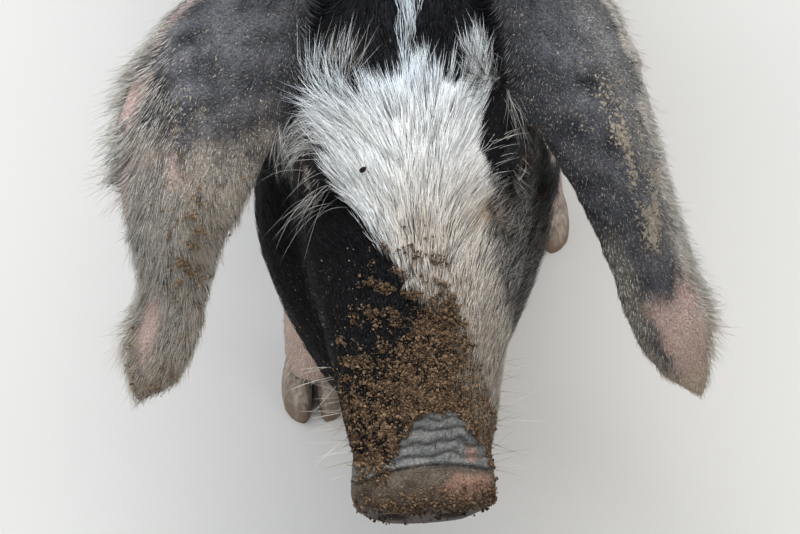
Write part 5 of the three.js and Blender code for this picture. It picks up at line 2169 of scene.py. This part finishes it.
@dataclass(frozen=True)
class EyeFinish:
    """A wet dark brown eye with a wide pupil and a dusky white, its rings given as angles."""

    pupil: float = 0.24
    iris: float = 0.52
    black: Colour = (0.002, 0.002, 0.003)
    limbus: Colour = (0.008, 0.006, 0.005)

    def make(self) -> Material:
        """Makes the material."""
        eye = Finish("pig_eye", Roughness=0.10, Coat_Weight=0.5, Coat_Roughness=0.04)
        off, fibre = eye.number("off_gaze"), eye.noise(eye.place, 1500.0)
        brown, dark = (0.022, 0.014, 0.009), (0.055, 0.034, 0.020)
        iris = eye.tint(eye.spread(fibre, 0.35, 0.65, 0.0, 1.0), brown, dark)
        dusky, veined = (0.050, 0.044, 0.038), (0.050, 0.036, 0.030)
        white = eye.tint(eye.spread(fibre, 0.45, 0.7, 0.0, 0.7), dusky, veined)
        colour = eye.tint(eye.spread(off, self.iris - 0.06, self.iris + 0.04, 0.0, 1.0), iris, white)
        ring = eye.sums("ABSOLUTE", eye.sums("SUBTRACT", off, self.iris))
        colour = eye.tint(eye.spread(ring, 0.0, 0.07, 0.85, 0.0), colour, self.limbus)
        seen = eye.spread(off, self.pupil - 0.02, self.pupil + 0.03, 0.0, 1.0)
        eye.shade(Base_Color=eye.tint(seen, self.black, colour))
        return eye.material


@dataclass(frozen=True)
class HornFinish:
    """Hoof horn: pale streaked wall, darker towards the sole, with growth rings and soil."""

    wall: tuple[Colour, Colour] = ((0.19, 0.15, 0.12), (0.42, 0.34, 0.275))
    stain: Colour = (0.12, 0.10, 0.085)
    soil: Colour = (0.20, 0.125, 0.075)

    def make(self) -> Material:
        """Makes the material."""
        horn = Finish("pig_horn", Specular_IOR_Level=0.4)
        squeezed = horn.add("Mapping", {"Vector": horn.place, "Scale": (1.0, 1.0, 0.12)})
        streak, blotch = horn.noise(squeezed, 420.0), horn.noise(horn.place, 90.0, 3.0)
        base = horn.tint(horn.spread(streak, 0.35, 0.65, 0.0, 1.0), *self.wall)
        base = horn.tint(horn.spread(blotch, 0.45, 0.7, 0.0, 0.85), base, self.stain)
        height = horn.add("SeparateXYZ", {0: horn.place}).node.outputs[2]
        low = horn.spread(height, 0.002, 0.016, 1.0, 0.0)
        soiled = horn.sums("MULTIPLY", low, horn.spread(blotch, 0.3, 0.6, 0.2, 1.0))
        rough = horn.spread(streak, 0.3, 0.7, 0.42, 0.66)
        horn.shade(Base_Color=horn.tint(soiled, base, self.soil), Roughness=rough)
        rings = {"Vector": horn.place, "Scale": 120.0, "Distortion": 4.0, "Detail": 3.0}
        rings = horn.add("TexWave", rings, bands_direction="Z").node.outputs[1]
        horn.relief(horn.sums("ADD", horn.sums("MULTIPLY", rings, 0.5), streak), 0.45, 0.4 * MM)
        return horn.material


# ---- Studio


@dataclass(frozen=True)
class SoftLight:
    """A soft square light: where it hangs, the length of its sides, its watts and its colour."""

    name: str
    place: Triple
    size: float
    power: float
    colour: Colour
    aim: Triple = (0.0, 0.0, 0.3)

    def hang(self) -> None:
        """Hangs the light, facing the pig."""
        data = bpy.data.lights.new(self.name, "AREA")
        data.size, data.energy, data.color = self.size, self.power, self.colour
        light = bpy.data.objects.new(self.name, data)
        light.location = self.place
        ray = Vector(self.aim) - Vector(self.place)
        light.rotation_euler = ray.to_track_quat("-Z", "Y").to_euler()
        bpy.context.scene.collection.objects.link(light)


@dataclass(frozen=True)
class Studio:
    """The floor, the soft lights, and the camera over the lowered head."""

    lens: float = 50.0
    sensor: float = 22.3
    distance: float = 0.682
    aim: Triple = (0.0, 85.0, 32.0)
    slip: float = 0.00532
    roll: float = math.radians(2.6)
    floor_half: float = 7.0
    floor: tuple[Colour, Colour] = ((0.47, 0.46, 0.44), (0.52, 0.51, 0.49))
    sky: Colour = (0.80, 0.86, 0.93)
    sky_strength: float = 0.38
    lights: tuple[SoftLight, ...] = (
        SoftLight("key", (0.4, -0.5, 2.4), 1.6, 54.0, (1.0, 0.98, 0.95)),
        SoftLight("sky", (-0.5, 0.8, 2.6), 2.2, 80.0, (0.90, 0.95, 1.0)),
        SoftLight("fill", (-2.0, -1.2, 1.2), 1.6, 9.0, (1.0, 0.97, 0.94)),
    )

    def build(self) -> None:
        """Makes the stage."""
        self._floor()
        self._camera()
        for light in self.lights:
            light.hang()
        world = bpy.data.worlds.new("studio")
        world.use_nodes = True
        colour, strength = world.node_tree.nodes["Background"].inputs[:2]
        colour.default_value = (*self.sky, 1.0)
        strength.default_value = self.sky_strength
        bpy.context.scene.world = world
        bpy.context.scene.view_settings.view_transform = "Standard"

    def _floor(self) -> None:
        """Lays a plain pale floor."""
        grid = bmesh.new()
        bmesh.ops.create_grid(grid, x_segments=8, y_segments=8, size=self.floor_half)
        floor = show(as_mesh(grid, "floor"))
        finish = Finish("studio_floor", Roughness=0.8)
        finish.shade(Base_Color=finish.tint(finish.noise(finish.place, 2.0, 2.0), *self.floor))
        floor.data.materials.append(finish.material)

    def _camera(self) -> None:
        """Sets the camera square to the face, a little rolled."""
        across, back, out = HEAD.axes(twisted=False)
        c, s = math.cos(self.roll), math.sin(self.roll)
        right, up = across * c - back * s, back * c + across * s
        spot = HEAD.model(self.aim, twisted=False) + out * self.distance - right * self.slip
        data = bpy.data.cameras.new("camera")
        data.lens, data.sensor_width, data.clip_start = self.lens, self.sensor, 0.01
        camera = bpy.data.objects.new("camera", data)
        bpy.context.scene.collection.objects.link(camera)
        turn = Matrix([right, up, out]).transposed().to_4x4()
        camera.matrix_world = Matrix.Translation(spot) @ turn
        bpy.context.scene.camera = camera


def main() -> None:
    """Builds the pig and its studio."""
    logging.basicConfig(level=logging.INFO, format="%(relativeCreated)7d %(message)s")
    Studio().build()
    markings = PiedMarkings()
    skin = PigSkin()
    skin.dress(markings, HideFinish().make())
    eye, horn, hair = EyeFinish().make(), HornFinish().make(), COARSE_HAIR.make()
    for seat in SEATS:
        Eyeball(seat).build(eye)
    for name in FEET:
        Foot(name).build(horn)
    coat = Coat(CoatFields(skin, markings), RootMap(skin), hair)
    for area in COAT_AREAS:
        coat.grow(area)
    FaceHairs(coat).build()
    Soil(coat, DRY_SOIL.make()).build()


if __name__ == "__main__":
    main()
